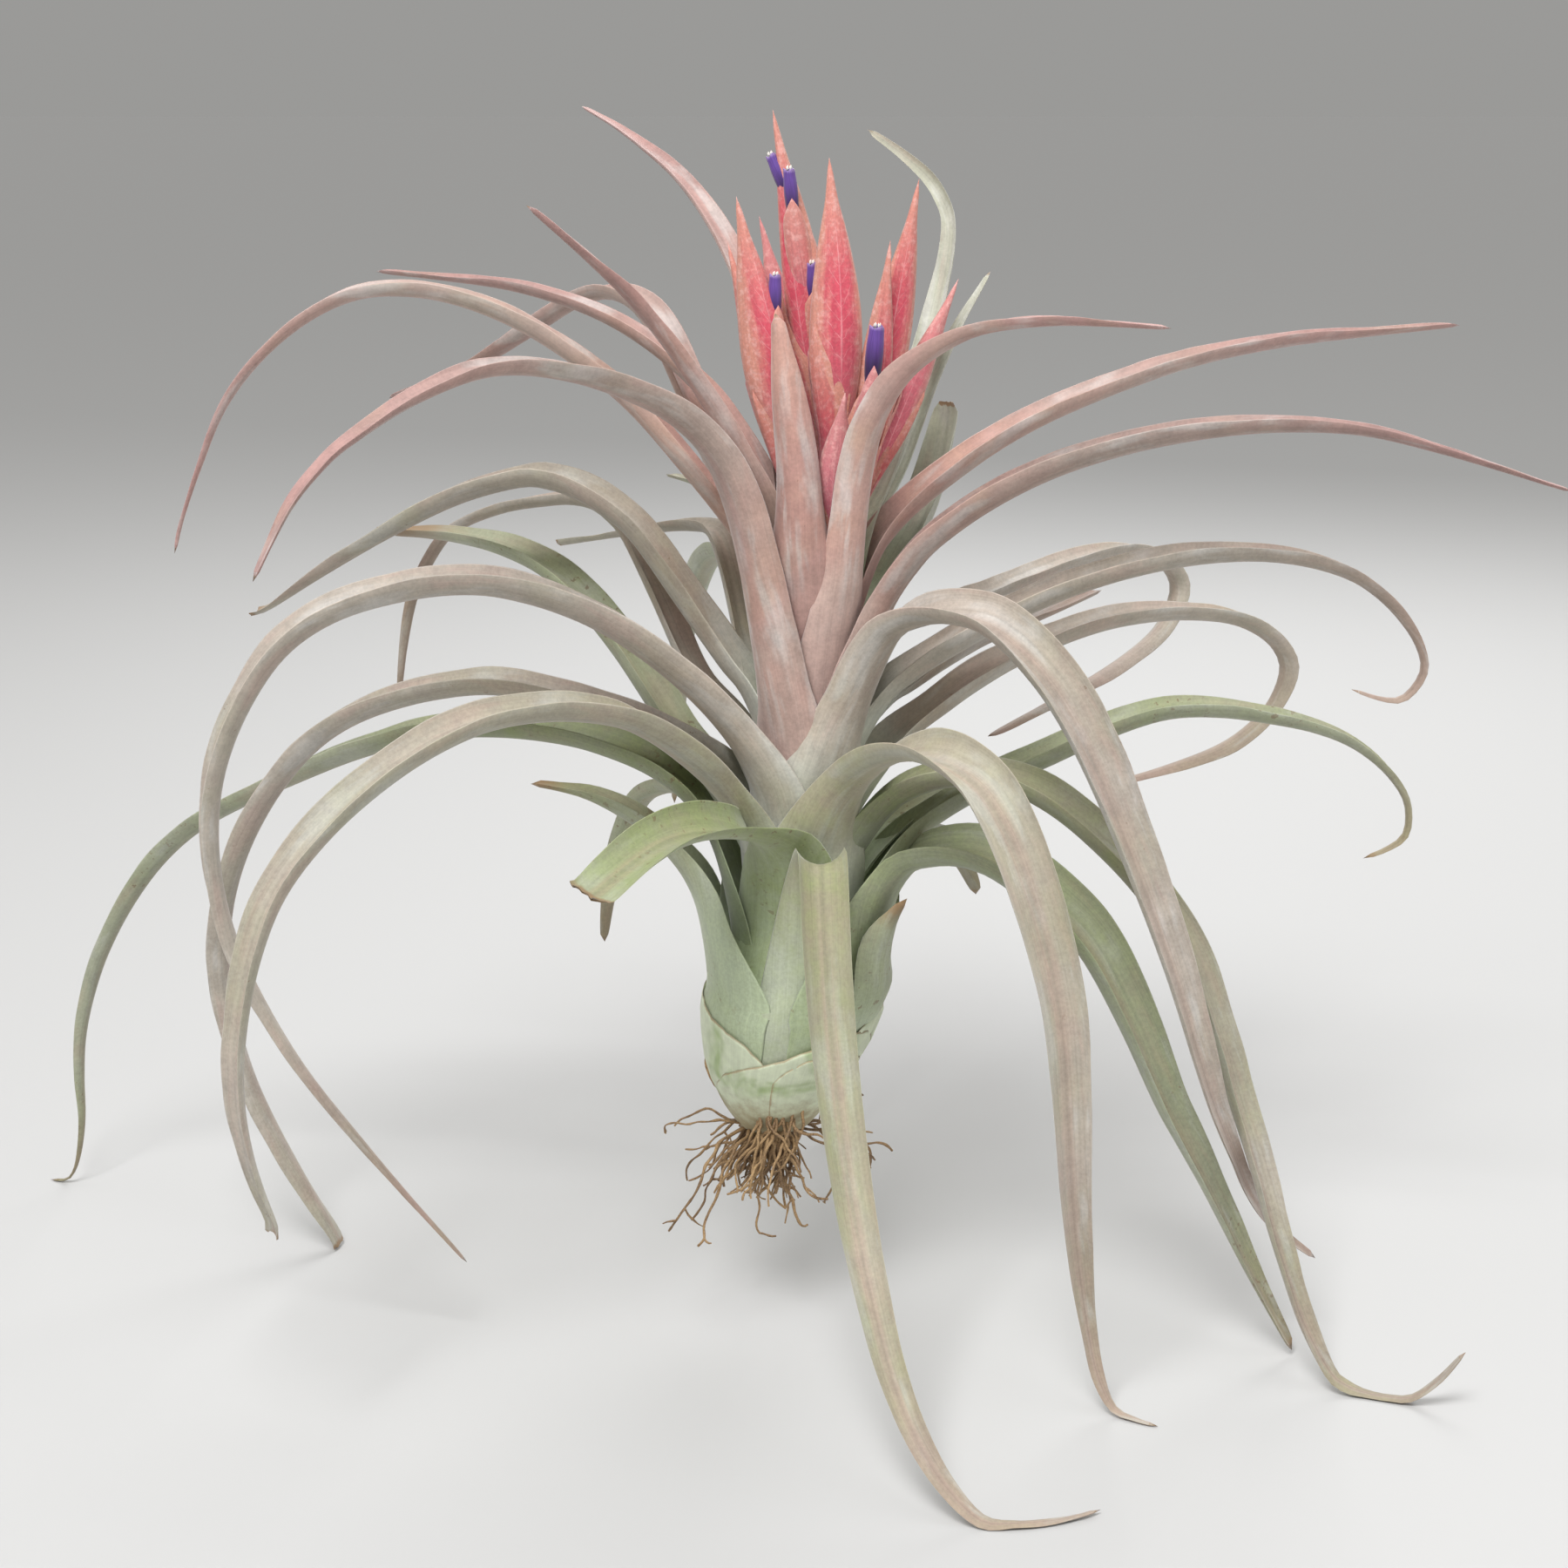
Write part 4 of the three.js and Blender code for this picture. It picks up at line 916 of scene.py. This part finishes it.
# the last bract is coloured as if its margins lay along the sides that show
shown = build.times(side, build.times_plus(topmost, 0.9, 1.0))
bracts = store(bracts, "FLOAT", "leaf_side", shown)
whole = build.step("GeometryNodeCurveLength", {"Curve": spine})
bracts = store(bracts, "FLOAT", "from_foot", build.times(whole, level))
bracts = store(bracts, "FLOAT", "from_tip", build.times(whole, build.minus(last, level)))
bracts = without(bracts, "rank", "along", "around")
bracts = build.step("GeometryNodeMergeByDistance", {"Geometry": bracts, "Distance": BRACT_MERGE})
build.wire(result["Spike"], skinned(bracts))

# Bract tissue: coral along the keel, tan and powdery towards the margins and the point, pinker towards the
# foot and on some bracts all over, with a thin pale midrib and thin veins that fork off it
BRACT_SKIN, build, given, result = group("bract skin", "ShaderNodeTree", [
    ("Heart", "NodeSocketColor", paint("#c6485a")), ("Margin", "NodeSocketColor", paint("#c98b7b")),
    ("Foot", "NodeSocketColor", paint("#bf7a86")), ("Powder", "NodeSocketColor", paint("#e2b7b0")),
    ("Vein", "NodeSocketColor", paint("#e6a5aa")), ("Vein spacing", "NodeSocketFloat", 0.0044),
    ("Vein slant", "NodeSocketFloat", 0.015),
], SKIN_OUTPUTS)
place = build.add("ShaderNodeTexCoord").outputs["Object"]
side = build.math("ABSOLUTE", build.attribute("leaf_side"))
foot = build.attribute("from_foot")
tip = build.attribute("from_tip")
along = build.over(foot, build.plus(foot, tip))
tone = build.minus(build.attribute("leaf_tone"), 0.5)
powder = build.noise(place, 1700, 3, 0.65)
grains = build.noise(place, 650, 3, 0.6)
cloud = build.noise(place, 120, 3, 0.6, 0.4)
streak = build.joined(
    X=build.times(build.attribute("leaf_side"), 9.0), Y=build.times(foot, 60.0), Z=build.times(tone, 40.0))
streak = build.noise(streak, 1.0, 3, 0.55)
wide = build.times_plus(build.minus(streak, 0.5), 0.5, side)
wide = build.times_plus(build.minus(cloud, 0.5), 0.5, wide)
edge = build.math("MAXIMUM", build.ramp(wide, 0.18, 0.72), build.ramp(tip, 0.032, 0.004, 0.0, 0.9))
colour = build.blend(edge, given["Heart"], given["Margin"])
mauve = build.math("MAXIMUM", build.ramp(along, 0.55, 0.1, 0.0, 0.75), build.ramp(tone, 0.0, 0.4, 0.0, 0.6))
colour = build.blend(mauve, colour, given["Foot"])
dust = build.times(build.ramp(grains, 0.45, 0.7), build.times_plus(edge, 0.4, 0.16))
colour = build.blend(dust, colour, given["Powder"])
count = build.times_plus(side, build.times(given["Vein slant"], -1.0), foot)
count = build.over(count, given["Vein spacing"])
count = build.times_plus(cloud, 1.1, build.plus(count, tone))
vein = build.math("ABSOLUTE", build.minus(build.math("FRACT", count), 0.5))
vein = build.times(build.ramp(vein, 0.04, 0.01), build.ramp(side, 0.75, 0.2))
midrib = build.times_plus(build.minus(cloud, 0.5), 0.04, side)
midrib = build.ramp(midrib, 0.026, 0.008)
vein = build.times(build.math("MAXIMUM", vein, midrib), build.ramp(tip, 0.006, 0.024))
veined = build.times(vein, build.ramp(streak, 0.3, 0.65, 0.12, 0.5))
colour = build.blend(veined, colour, given["Vein"])
shade = build.plus(build.ramp(powder, 0.3, 0.7, 0.9, 1.1), build.times(tone, 0.14))
shade = build.plus(shade, build.ramp(streak, 0.3, 0.7, -0.07, 0.07))
build.wire(result["Colour"], build.shaded(colour, shade))
build.wire(result["Height"], build.times_plus(vein, 0.4, build.times(grains, 0.5)))
build.wire(result["Roughness"], build.ramp(powder, 0.2, 0.8, 0.5, 0.7))
BRACT_FINISH = finish("coral bract", BRACT_SKIN, {}, bump=0.35, Sheen_Weight=0.15)


def spine_of(node):
    """A spike's spine in level cuts, with half its width and depth at each, and its two ways across"""
    solid = merged(node)
    low = min(corner.co.z for corner in solid.verts)
    tip = max((corner.co.copy() for corner in solid.verts), key=lambda place: place.z)
    cuts = []
    for i in range(SPIKE_CUTS):
        height = mix(low, tip.z, (i + 1.5) / (SPIKE_CUTS + 2))
        points = []
        for edge in solid.edges:
            first, last = (corner.co for corner in edge.verts)
            if (first.z - height) * (last.z - height) < 0:
                points.append(first.lerp(last, (height - first.z) / (last.z - first.z)))
        cuts.append(points)
    solid.free()
    spread = [point - sum(points, Vector()) / len(points) for points in cuts for point in points]
    angle = 0.5 * math.atan2(2 * sum(p.x * p.y for p in spread), sum(p.x * p.x - p.y * p.y for p in spread))
    wide = Vector((math.cos(angle), math.sin(angle), 0))
    front = Vector((wide.y, -wide.x, 0))
    rows = []
    for points in cuts:
        spans = [[point.dot(way) for point in points] for way in (wide, front)]
        reach = [(min(span), max(span)) for span in spans]
        centre = wide * sum(reach[0]) / 2 + front * sum(reach[1]) / 2
        rows.append((Vector((centre.x, centre.y, points[0].z)), [(high - low) / 2 for low, high in reach]))
    for _ in range(2):
        smoothed = [rows[0]]
        for before, here, after in zip(rows, rows[1:], rows[2:]):
            halves = [(a + 2 * b + c) / 4 for a, b, c in zip(before[1], here[1], after[1])]
            smoothed.append(((before[0] + 2 * here[0] + after[0]) / 4, halves))
        rows = smoothed + [rows[-1]]
    down = (rows[0][0] - rows[2][0]).normalized()
    foot = (rows[0][0] + down * (rows[0][0].z - low + SPIKE_SEAT), [0.7 * value for value in rows[0][1]])
    point = tip + SPIKE_POINT * (tip - rows[-1][0]).normalized()
    rows = [(centre, [PLUMP * value for value in halves]) for centre, halves in [foot] + rows]
    near = (rows[-1][0].lerp(point, 0.7), [0.42 * value for value in rows[-1][1]])
    return rows + [near, (point, [0.0003, 0.0003])], wide, front


# how each spike's last bract is turned, 1.57 being to the front, and how far up the tips of the others come;
# for a spike that isn't named, the turn is drawn and the tips are the usual
OWN_BRACTS = {
    "spike_01": {"Top turn": 2.1, "Lowest tip": 0.42, "Next tip": 0.7},
    "spike_02": {"Top turn": 1.4, "Divergence": -1.0, "Lowest tip": 0.34, "Next tip": 0.54},
    "spike_03": {"Top turn": 1.2, "Lowest tip": 0.3, "Next tip": 0.62},
    "spike_05": {"Top turn": 1.8, "Divergence": 0.9, "Lowest tip": 0.32, "Next tip": 0.5},
    "spike_06": {"Top turn": 1.3, "Lowest tip": 0.4, "Next tip": 0.6},
    "spike_09": {"Top turn": 1.6, "Divergence": 0.8, "Flare": 0.0},
}
SPINES = {}
draw = random.Random(8)
for node in sorted(name for name in frame["nodes"] if name.startswith("spike_")):
    rows, wide, front = spine_of(node)
    SPINES[node] = rows
    sections = [(half, deep, 0) for _, (half, deep) in rows]
    line = line_mesh(node, [centre for centre, _ in rows], section=sections)
    tall = rows[-1][0].z - rows[0][0].z
    made = grown(node, line, SPIKE, {
        "Bracts": 4 if tall > TALL_SPIKE else 3, "Top turn": draw.uniform(1.0, 2.1), "Wide way": wide,
        "Lowest tip": 0.42, "Next tip": 0.6, "Front way": front, "Seed": draw.randrange(1000),
        "Finish": BRACT_FINISH, **OWN_BRACTS.get(node, {}),
    })
    place_piece(node + "_bracts", made, BRACT_FINISH, "bract", node)


# Flowers. Three violet petals are rolled into a tube, lap over each other, and let the pale stamens show at
# its mouth. A small pointed bract on the spike wraps each flower's foot. Petals and bracts are short deep
# channels, grown by the tree that grows the leaves.
PETAL_WRAP = 1.3              # half angle of a petal round the tube, in radians
PETAL_THICK = 0.0004
# a petal's width at places along it, as shares of its length and its greatest width
PETAL_WIDTHS = (
    (0, 1), (0.15, 1), (0.3, 1), (0.5, 1), (0.7, 1), (0.85, 1), (0.93, 0.94), (0.97, 0.74), (1, 0.3),
)
STAMENS = 6
STAMEN_RADIUS = 0.00013
STAMEN_SHOWN = 0.0004
STAMEN_DEPTH = 0.004          # how far below the petals' ends the threads start
THREAD_TOP = 0.0034           # where a thread ends, and where its anther lies, above where the thread starts
ANTHER = (0.0031, 0.0042)
MOUTH_DROP = 0.0022           # how far the petals end below the top of the solid
CUP_DROP = 0.024              # how far below the flower's foot its bract springs from the spike
CUP_SHARE = 0.42              # how far up the flower its bract's tip reaches
CUP_FRONT = 0.005             # how far a bract is drawn to the front, unless its flower is behind the spike
CUP_THICK = 0.0005
# half the width of that bract in millimetres at places along it, and where it leaves the spike
CUP_HALVES = ((0, 2.8), (0.2, 3.8), (0.4, 4.2), (0.58, 4.0), (0.72, 3.1), (0.84, 1.9), (0.93, 0.9), (1, 0))
CUP_KNEE = 0.72
FOOT_PULL = 0.3               # how far a flower's foot is drawn in towards the middle of its spike
BEHIND = "flower_01"          # this flower comes out from behind its spike, which hides its foot
BEHIND_PULL = 1.05
RAISED = "flower_05"          # and this one stands higher out of its bract
RAISE = 0.003
SLIM = 0.8                    # a flower's tube as a share of the greatest reach of its solid

PETAL_SKIN, build, given, result = group("petal skin", "ShaderNodeTree", [
    ("Deep", "NodeSocketColor", paint("#2c1548")), ("Upper", "NodeSocketColor", paint("#5f4090")),
    ("Rim", "NodeSocketColor", paint("#a58cbe")),
], SKIN_OUTPUTS)
grain = build.attribute("leaf_grain", "Vector")
tip = build.attribute("from_tip")
lines = build.noise(build.vector("MULTIPLY", grain, (3600, 110, 5)), 1.0, 2, 0.5)
colour = build.blend(build.ramp(tip, 0.011, 0.002), given["Deep"], given["Upper"])
brink = build.math("MAXIMUM", build.ramp(tip, 0.0011, 0.0002),
                   build.ramp(build.math("ABSOLUTE", build.attribute("leaf_side")), 0.94, 0.99))
colour = build.blend(build.times(brink, 0.6), colour, given["Rim"])
shade = build.ramp(lines, 0.25, 0.75, 0.8, 1.2)
build.wire(result["Colour"], build.shaded(colour, shade))
build.wire(result["Height"], lines)
build.wire(result["Roughness"], build.ramp(lines, 0.2, 0.8, 0.42, 0.58))
PETAL_FINISH = finish("violet petal", PETAL_SKIN, {}, bump=0.3, Sheen_Weight=0.2)
STAMEN_FINISH = finish("pale stamen", SILVER_BLOOM, {
    "Tissue": paint("#d8d0c4"), "Bloom": paint("#f4f1ea"), "Amount": 0.7, "Patches": 0.3,
}, bump=0.2)


def flower_axis(node):
    """The middle of a flower's foot, the middle of its mouth, and its greatest radius"""
    solid = merged(node)
    corners = [corner.co.copy() for corner in solid.verts]
    solid.free()
    low = min(corner.z for corner in corners)
    high = max(corner.z for corner in corners)
    ends = []
    for first, last in ((0.0, 0.25), (0.75, 1.0)):
        near = [c for c in corners if mix(low, high, first) <= c.z <= mix(low, high, last)]
        ends.append(sum(near, Vector()) / len(near))
    line = (ends[1] - ends[0]).normalized()
    middle = ends[0]
    far = [(corner - middle) - (corner - middle).dot(line) * line for corner in corners]
    heights = [(corner - middle).dot(line) for corner in corners]
    return middle + min(heights) * line, middle + max(heights) * line, SLIM * max(gap.length for gap in far)


def petal_stops(foot, line, length, radius, turn):
    """A petal's keel up the side of the tube, with the channel's section at each stop"""
    side = line.orthogonal().normalized()
    away = math.cos(turn) * side + math.sin(turn) * line.cross(side)
    stops = []
    for along, share in PETAL_WIDTHS:
        reach = radius * (mix(0.7, 1.0, smooth(0, 0.45, along)) - 0.16 * smooth(0.6, 0.95, along))
        stops.append({
            "place": foot + along * length * line + reach * away, "across": line.cross(away), "up": -away,
            "half": reach * PETAL_WRAP * share, "bend": PETAL_WRAP * share, "thick": PETAL_THICK,
            "from_foot": along * length,
        })
    return stops


def spine_at(rows, height):
    """A spike's middle at a height, and half its width and half its depth there"""
    for lower, upper in zip(rows, rows[1:]):
        if upper[0].z > height:
            share = max(0.0, (height - lower[0].z) / (upper[0].z - lower[0].z))
            return lower[0].lerp(upper[0], share), [mix(a, b, share) for a, b in zip(lower[1], upper[1])]
    return rows[-1]


def cup_stops(rows, foot, line, length, radius):
    """The keel of the bract that wraps a flower's foot: out of its spike and up the flower's outer side"""
    away = foot - spine_at(rows, foot.z)[0]
    away = Vector((away.x, away.y - (CUP_FRONT if away.y < 0 else 0), 0)).normalized()
    centre, halves = spine_at(rows, foot.z - CUP_DROP)
    start = centre + 0.3 * min(halves) * away
    knee = foot + (radius + 0.0003) * away
    end = foot + CUP_SHARE * length * line + (radius + 0.0002) * away
    stops = []
    for along, half in CUP_HALVES:
        if along < CUP_KNEE:
            here = start.lerp(knee, along / CUP_KNEE)
        else:
            here = knee.lerp(end, (along - CUP_KNEE) / (1 - CUP_KNEE))
        bulge = 0.0006 * math.sin(math.pi * along)
        stops.append({
            "place": here + bulge * away, "across": line.cross(away).normalized(), "up": -away,
            "half": half / 1000, "bend": mix(1.25, 0.5, smooth(0.6, 1.0, along)),
            "thick": CUP_THICK if half else 0.0, "from_foot": along * (end - start).length,
        })
    return stops


def petal_tube(node, foot, line, length, radius):
    """Three petals rolled round each other, as one mesh"""
    flower = bmesh.new()
    for k in range(3):
        stops = petal_stops(foot, line, length * draw.uniform(0.97, 1.0), radius, 2 * math.pi * k / 3 + 0.4)
        petal = grown(node, keel_mesh(node, stops, 0.5), BLADE, {
            "Seed": draw.uniform(0, 50), "Finish": PETAL_FINISH, "Columns": 24, "Row spacing": 0.0005,
            "Rim ripple": 0.00006,
        })
        flower.from_mesh(petal)
    return mesh_of(node, flower)


def stamens(node, foot, line, length, radius):
    """Six threads, each with a pale grain of an anther at its end, as one mesh"""
    parts = bmesh.new()
    turned = line.to_track_quat("Z", "Y").to_matrix().to_4x4()
    side = line.orthogonal().normalized()
    for k in range(STAMENS):
        turn = 2 * math.pi * k / STAMENS + 0.3
        away = math.cos(turn) * side + math.sin(turn) * line.cross(side)
        reach = STAMEN_SHOWN * (1.0 if k % 2 else 0.55)
        start = foot + (length - STAMEN_DEPTH) * line + 0.35 * radius * away
        for low, high, wide in ((0.0, THREAD_TOP + reach, 0.6), (ANTHER[0] + reach, ANTHER[1] + reach, 1.4)):
            size = Matrix.Diagonal((wide * STAMEN_RADIUS, wide * STAMEN_RADIUS, (high - low) / 2, 1))
            form = Matrix.Translation(start + (low + high) / 2 * line) @ turned @ size
            bmesh.ops.create_uvsphere(parts, u_segments=8, v_segments=6, radius=1.0, matrix=form)
    return mesh_of(node, parts)


for node in sorted(name for name in frame["nodes"] if name.startswith("flower_")):
    foot, mouth, radius = flower_axis(node)
    rows = min(SPINES.values(), key=lambda rows: (spine_at(rows, foot.z)[0] - foot).length)
    foot = foot.lerp(spine_at(rows, foot.z)[0], BEHIND_PULL if node == BEHIND else FOOT_PULL)
    line = (mouth - foot).normalized()
    if node == RAISED:
        foot += RAISE * line
        mouth += RAISE * line
    length = (mouth - foot).length - MOUTH_DROP
    petals = petal_tube(node, foot, line, length, radius)
    place_piece(node + "_petals", petals, PETAL_FINISH, "petal", node)
    threads = stamens(node, foot, line, length, radius)
    place_piece(node + "_stamens", threads, STAMEN_FINISH, "petal", node)
    if node != BEHIND:
        keel = keel_mesh(node, cup_stops(rows, foot, line, length, radius), draw.random())
        cup = grown(node, keel, BLADE, {
            "Seed": draw.uniform(0, 50), "Finish": BRACT_FINISH, "Row spacing": 0.0008, "Columns": 28,
            "Rim ripple": 0.0001,
        })
        place_piece(node + "_cup_bract", cup, BRACT_FINISH, "bract", node)


# Roots. A dense tuft of tan wiry roots springs from a crown under the bulb and leans to the left. They are
# kinked, dry and bare, with short dead stubs, and a few run out sideways.
ROOT_STEMS = 105
FRONT_ROOTS = 22              # roots that spring from the front of the bulb's foot
FRONT_TURNS = (4.35, 5.2)     # the turns round the stem, and the heights, between which they spring
FRONT_HEIGHTS = (0.0535, 0.061)
ROOT_STOPS = 11
ROOT_RADIUS = 0.00045
ROOT_KINK = 0.45              # how far each stretch of a root strays from the way of the last
CROWN = 0.0055                # radius of the crown that the roots spring from
LONG_EVERY = 6                # each sixth root is long and runs out sideways
LONG_LENGTHS = (0.026, 0.044)
SHORT_LENGTHS = (0.011, 0.026)
FRONT_LENGTHS = (0.014, 0.026)
STUB_LENGTHS = (0.003, 0.009)

ROOTS, build, given, result = group("wiry roots", "GeometryNodeTree", [
    ("Lines", "NodeSocketGeometry", None), ("Spacing", "NodeSocketFloat", 0.001),
    ("Sides", "NodeSocketInt", 6), ("Knots", "NodeSocketFloat", 0.00022),
    ("Finish", "NodeSocketMaterial", None),
], [("Roots", "NodeSocketGeometry")])
lines = build.step("GeometryNodeResampleCurve", {
    "Curve": smooth_line(given["Lines"]), "Length": given["Spacing"],
}, mode="LENGTH")
girth = stored("FLOAT", "girth")
lines = build.step("GeometryNodeSetCurveRadius", {"Curve": lines, "Radius": girth})
outline = build.step("GeometryNodeCurvePrimitiveCircle", {
    "Resolution": given["Sides"], "Radius": 1.0,
}, mode="RADIUS")
wires = build.step("GeometryNodeCurveToMesh", {
    "Curve": lines, "Profile Curve": outline, "Scale": girth, "Fill Caps": True,
})
knot = build.noise(build.step("GeometryNodeInputPosition"), 420.0, 1.0)
knot = build.times(build.minus(knot, 0.5), build.times(given["Knots"], 2.0))
swell = build.scaled(build.step("GeometryNodeInputNormal"), knot)
wires = build.step("GeometryNodeSetPosition", {"Geometry": wires, "Offset": swell})
build.wire(result["Roots"], skinned(wires))

ROOT_FINISH = finish("dry root", SILVER_BLOOM, {
    "Tissue": paint("#644a30"), "Bloom": paint("#b4956c"), "Amount": 0.45, "Patches": 2.4,
}, bump=0.6)


def root_lines():
    """Kinked lines down and out from the crown, within the solid roots' box, as points, edges and girths"""
    low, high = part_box("roots")
    middle, _ = stem_at(STEM_FOOT)
    draw = random.Random(21)
    points = []
    edges = []
    girths = []

    def run(start, way, length, stops, girth, sag):
        here = start.copy()
        for i in range(stops + 1):
            inside = (min(max(here.x, low.x), high.x), min(max(here.y, low.y), high.y), max(here.z, low.z))
            points.append(Vector(inside))
            girths.append(girth * mix(1.0, 0.6, i / stops))
            if i:
                edges.append((len(points) - 2, len(points) - 1))
            kink = Vector((draw.uniform(-1, 1), draw.uniform(-1, 1), draw.uniform(-1, 1) - sag))
            way = (way + ROOT_KINK * kink).normalized()
            here += way * length / stops

    for k in range(ROOT_STEMS):
        turn = 2 * math.pi * k / ROOT_STEMS + draw.uniform(-0.2, 0.2)
        out = Vector((math.cos(turn), math.sin(turn), 0))
        long = k % LONG_EVERY == 0
        start = middle + CROWN * out * math.sqrt(draw.random()) + Vector((0, 0, 0.001))
        way = (out * (1.0 if long else 0.42) + Vector((-0.34, 0, -0.25 if long else -1.0))).normalized()
        length = draw.uniform(*(LONG_LENGTHS if long else SHORT_LENGTHS))
        first = len(points)
        run(start, way, length, ROOT_STOPS, ROOT_RADIUS * draw.uniform(0.75, 1.2), 0.12 if long else 0.3)
        for _ in range(draw.randrange(3)):
            fork = points[first + draw.randrange(3, ROOT_STOPS)]
            stub = Vector((draw.uniform(-1, 1), draw.uniform(-1, 1), draw.uniform(-1, 0.2))).normalized()
            run(fork, stub, draw.uniform(*STUB_LENGTHS), 4, ROOT_RADIUS * 0.7, 0.2)
    for _ in range(FRONT_ROOTS):
        turn = draw.uniform(*FRONT_TURNS)
        out = Vector((math.cos(turn), math.sin(turn), 0))
        spot, radius = stem_at(draw.uniform(*FRONT_HEIGHTS))
        way = (0.5 * out + Vector((-0.15, 0, -1.0))).normalized()
        length = draw.uniform(*FRONT_LENGTHS)
        run(spot + (radius + 0.001) * out, way, length, ROOT_STOPS, ROOT_RADIUS, 0.25)
    return points, edges, girths


points, edges, girths = root_lines()
made = grown("roots", line_mesh("roots", points, edges, girth=girths), ROOTS, {"Finish": ROOT_FINISH})
place_piece("wiry_roots", made, ROOT_FINISH, "root", "roots")


# Floor, light and camera. The plant stands on a plain pale floor in soft studio light, seen from the height
# of its upper leaves.
PHOTO_SIDE = 1800
FOCAL_PIXELS = 2955
CAMERA_AWAY = 0.628
CAMERA_RISE = 0.168
TARGET_HEIGHT = 0.1437
TARGET_LEFT = 0.0019          # how far left of the stem's middle the camera aims
FLOOR_REACH = 40
FLOOR_DROP = 0.0002           # how far the floor lies below the lowest leaf tip
HORIZON = 0.33                # brightness of the sky at the level of the eye
ZENITH = 0.74                 # and straight above
LIT_HEIGHT = 0.16             # the lamps are turned to the middle of the plant
axis = sum(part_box("stem_with_bulb"), Vector()) / 2
target = Vector((axis.x - TARGET_LEFT, axis.y, TARGET_HEIGHT))
camera = in_scene("camera", bpy.data.cameras.new("camera"))
camera.location = target + Vector((0, -CAMERA_AWAY, CAMERA_RISE))
camera.rotation_euler = (target - camera.location).to_track_quat("-Z", "Y").to_euler()
camera.data.lens = camera.data.sensor_width * FOCAL_PIXELS / PHOTO_SIDE
camera.data.clip_start = 0.01
bpy.context.scene.camera = camera

floor = bpy.data.meshes.new("floor")
corners = [(x * FLOOR_REACH, y * FLOOR_REACH, -FLOOR_DROP) for x, y in ((-1, -1), (1, -1), (1, 1), (-1, 1))]
floor.from_pydata(corners, [], [(0, 1, 2, 3)])
floor = in_scene("floor", floor)
paper = bpy.data.materials.new("floor paper")
paper.use_nodes = True
paper.node_tree.nodes["Principled BSDF"].inputs["Base Color"].default_value = paint("#bebebe")
paper.node_tree.nodes["Principled BSDF"].inputs["Roughness"].default_value = 0.95
floor.data.materials.append(paper)

for name, place, size, power in (
    ("key light", (-0.22, -0.75, 1.2), 0.5, 17),
    ("fill light", (0.9, -0.5, 0.6), 0.8, 2),
    ("back light", (0.3, 0.9, 0.9), 0.7, 8),
):
    lamp = in_scene(name, bpy.data.lights.new(name, "AREA"))
    lamp.location = place
    aim = Vector((0, 0, LIT_HEIGHT)) - Vector(place)
    lamp.rotation_euler = aim.to_track_quat("-Z", "Y").to_euler()
    lamp.data.size = size
    lamp.data.energy = power
sky = bpy.data.worlds.new("studio")
sky.use_nodes = True
wires = Tree(sky.node_tree)
way = wires.add("ShaderNodeTexCoord").outputs["Generated"]
height = wires.add("ShaderNodeSeparateXYZ", {0: way}).outputs["Z"]
glow = wires.ramp(height, 0.0, 1.0, HORIZON, ZENITH)
wires.wire(sky.node_tree.nodes["Background"].inputs["Strength"], glow)
sky.node_tree.nodes["Background"].inputs["Color"].default_value = paint("#fdfcf9")
bpy.context.scene.world = sky
bpy.context.scene.view_settings.view_transform = "Standard"

bpy.context.view_layer.update()
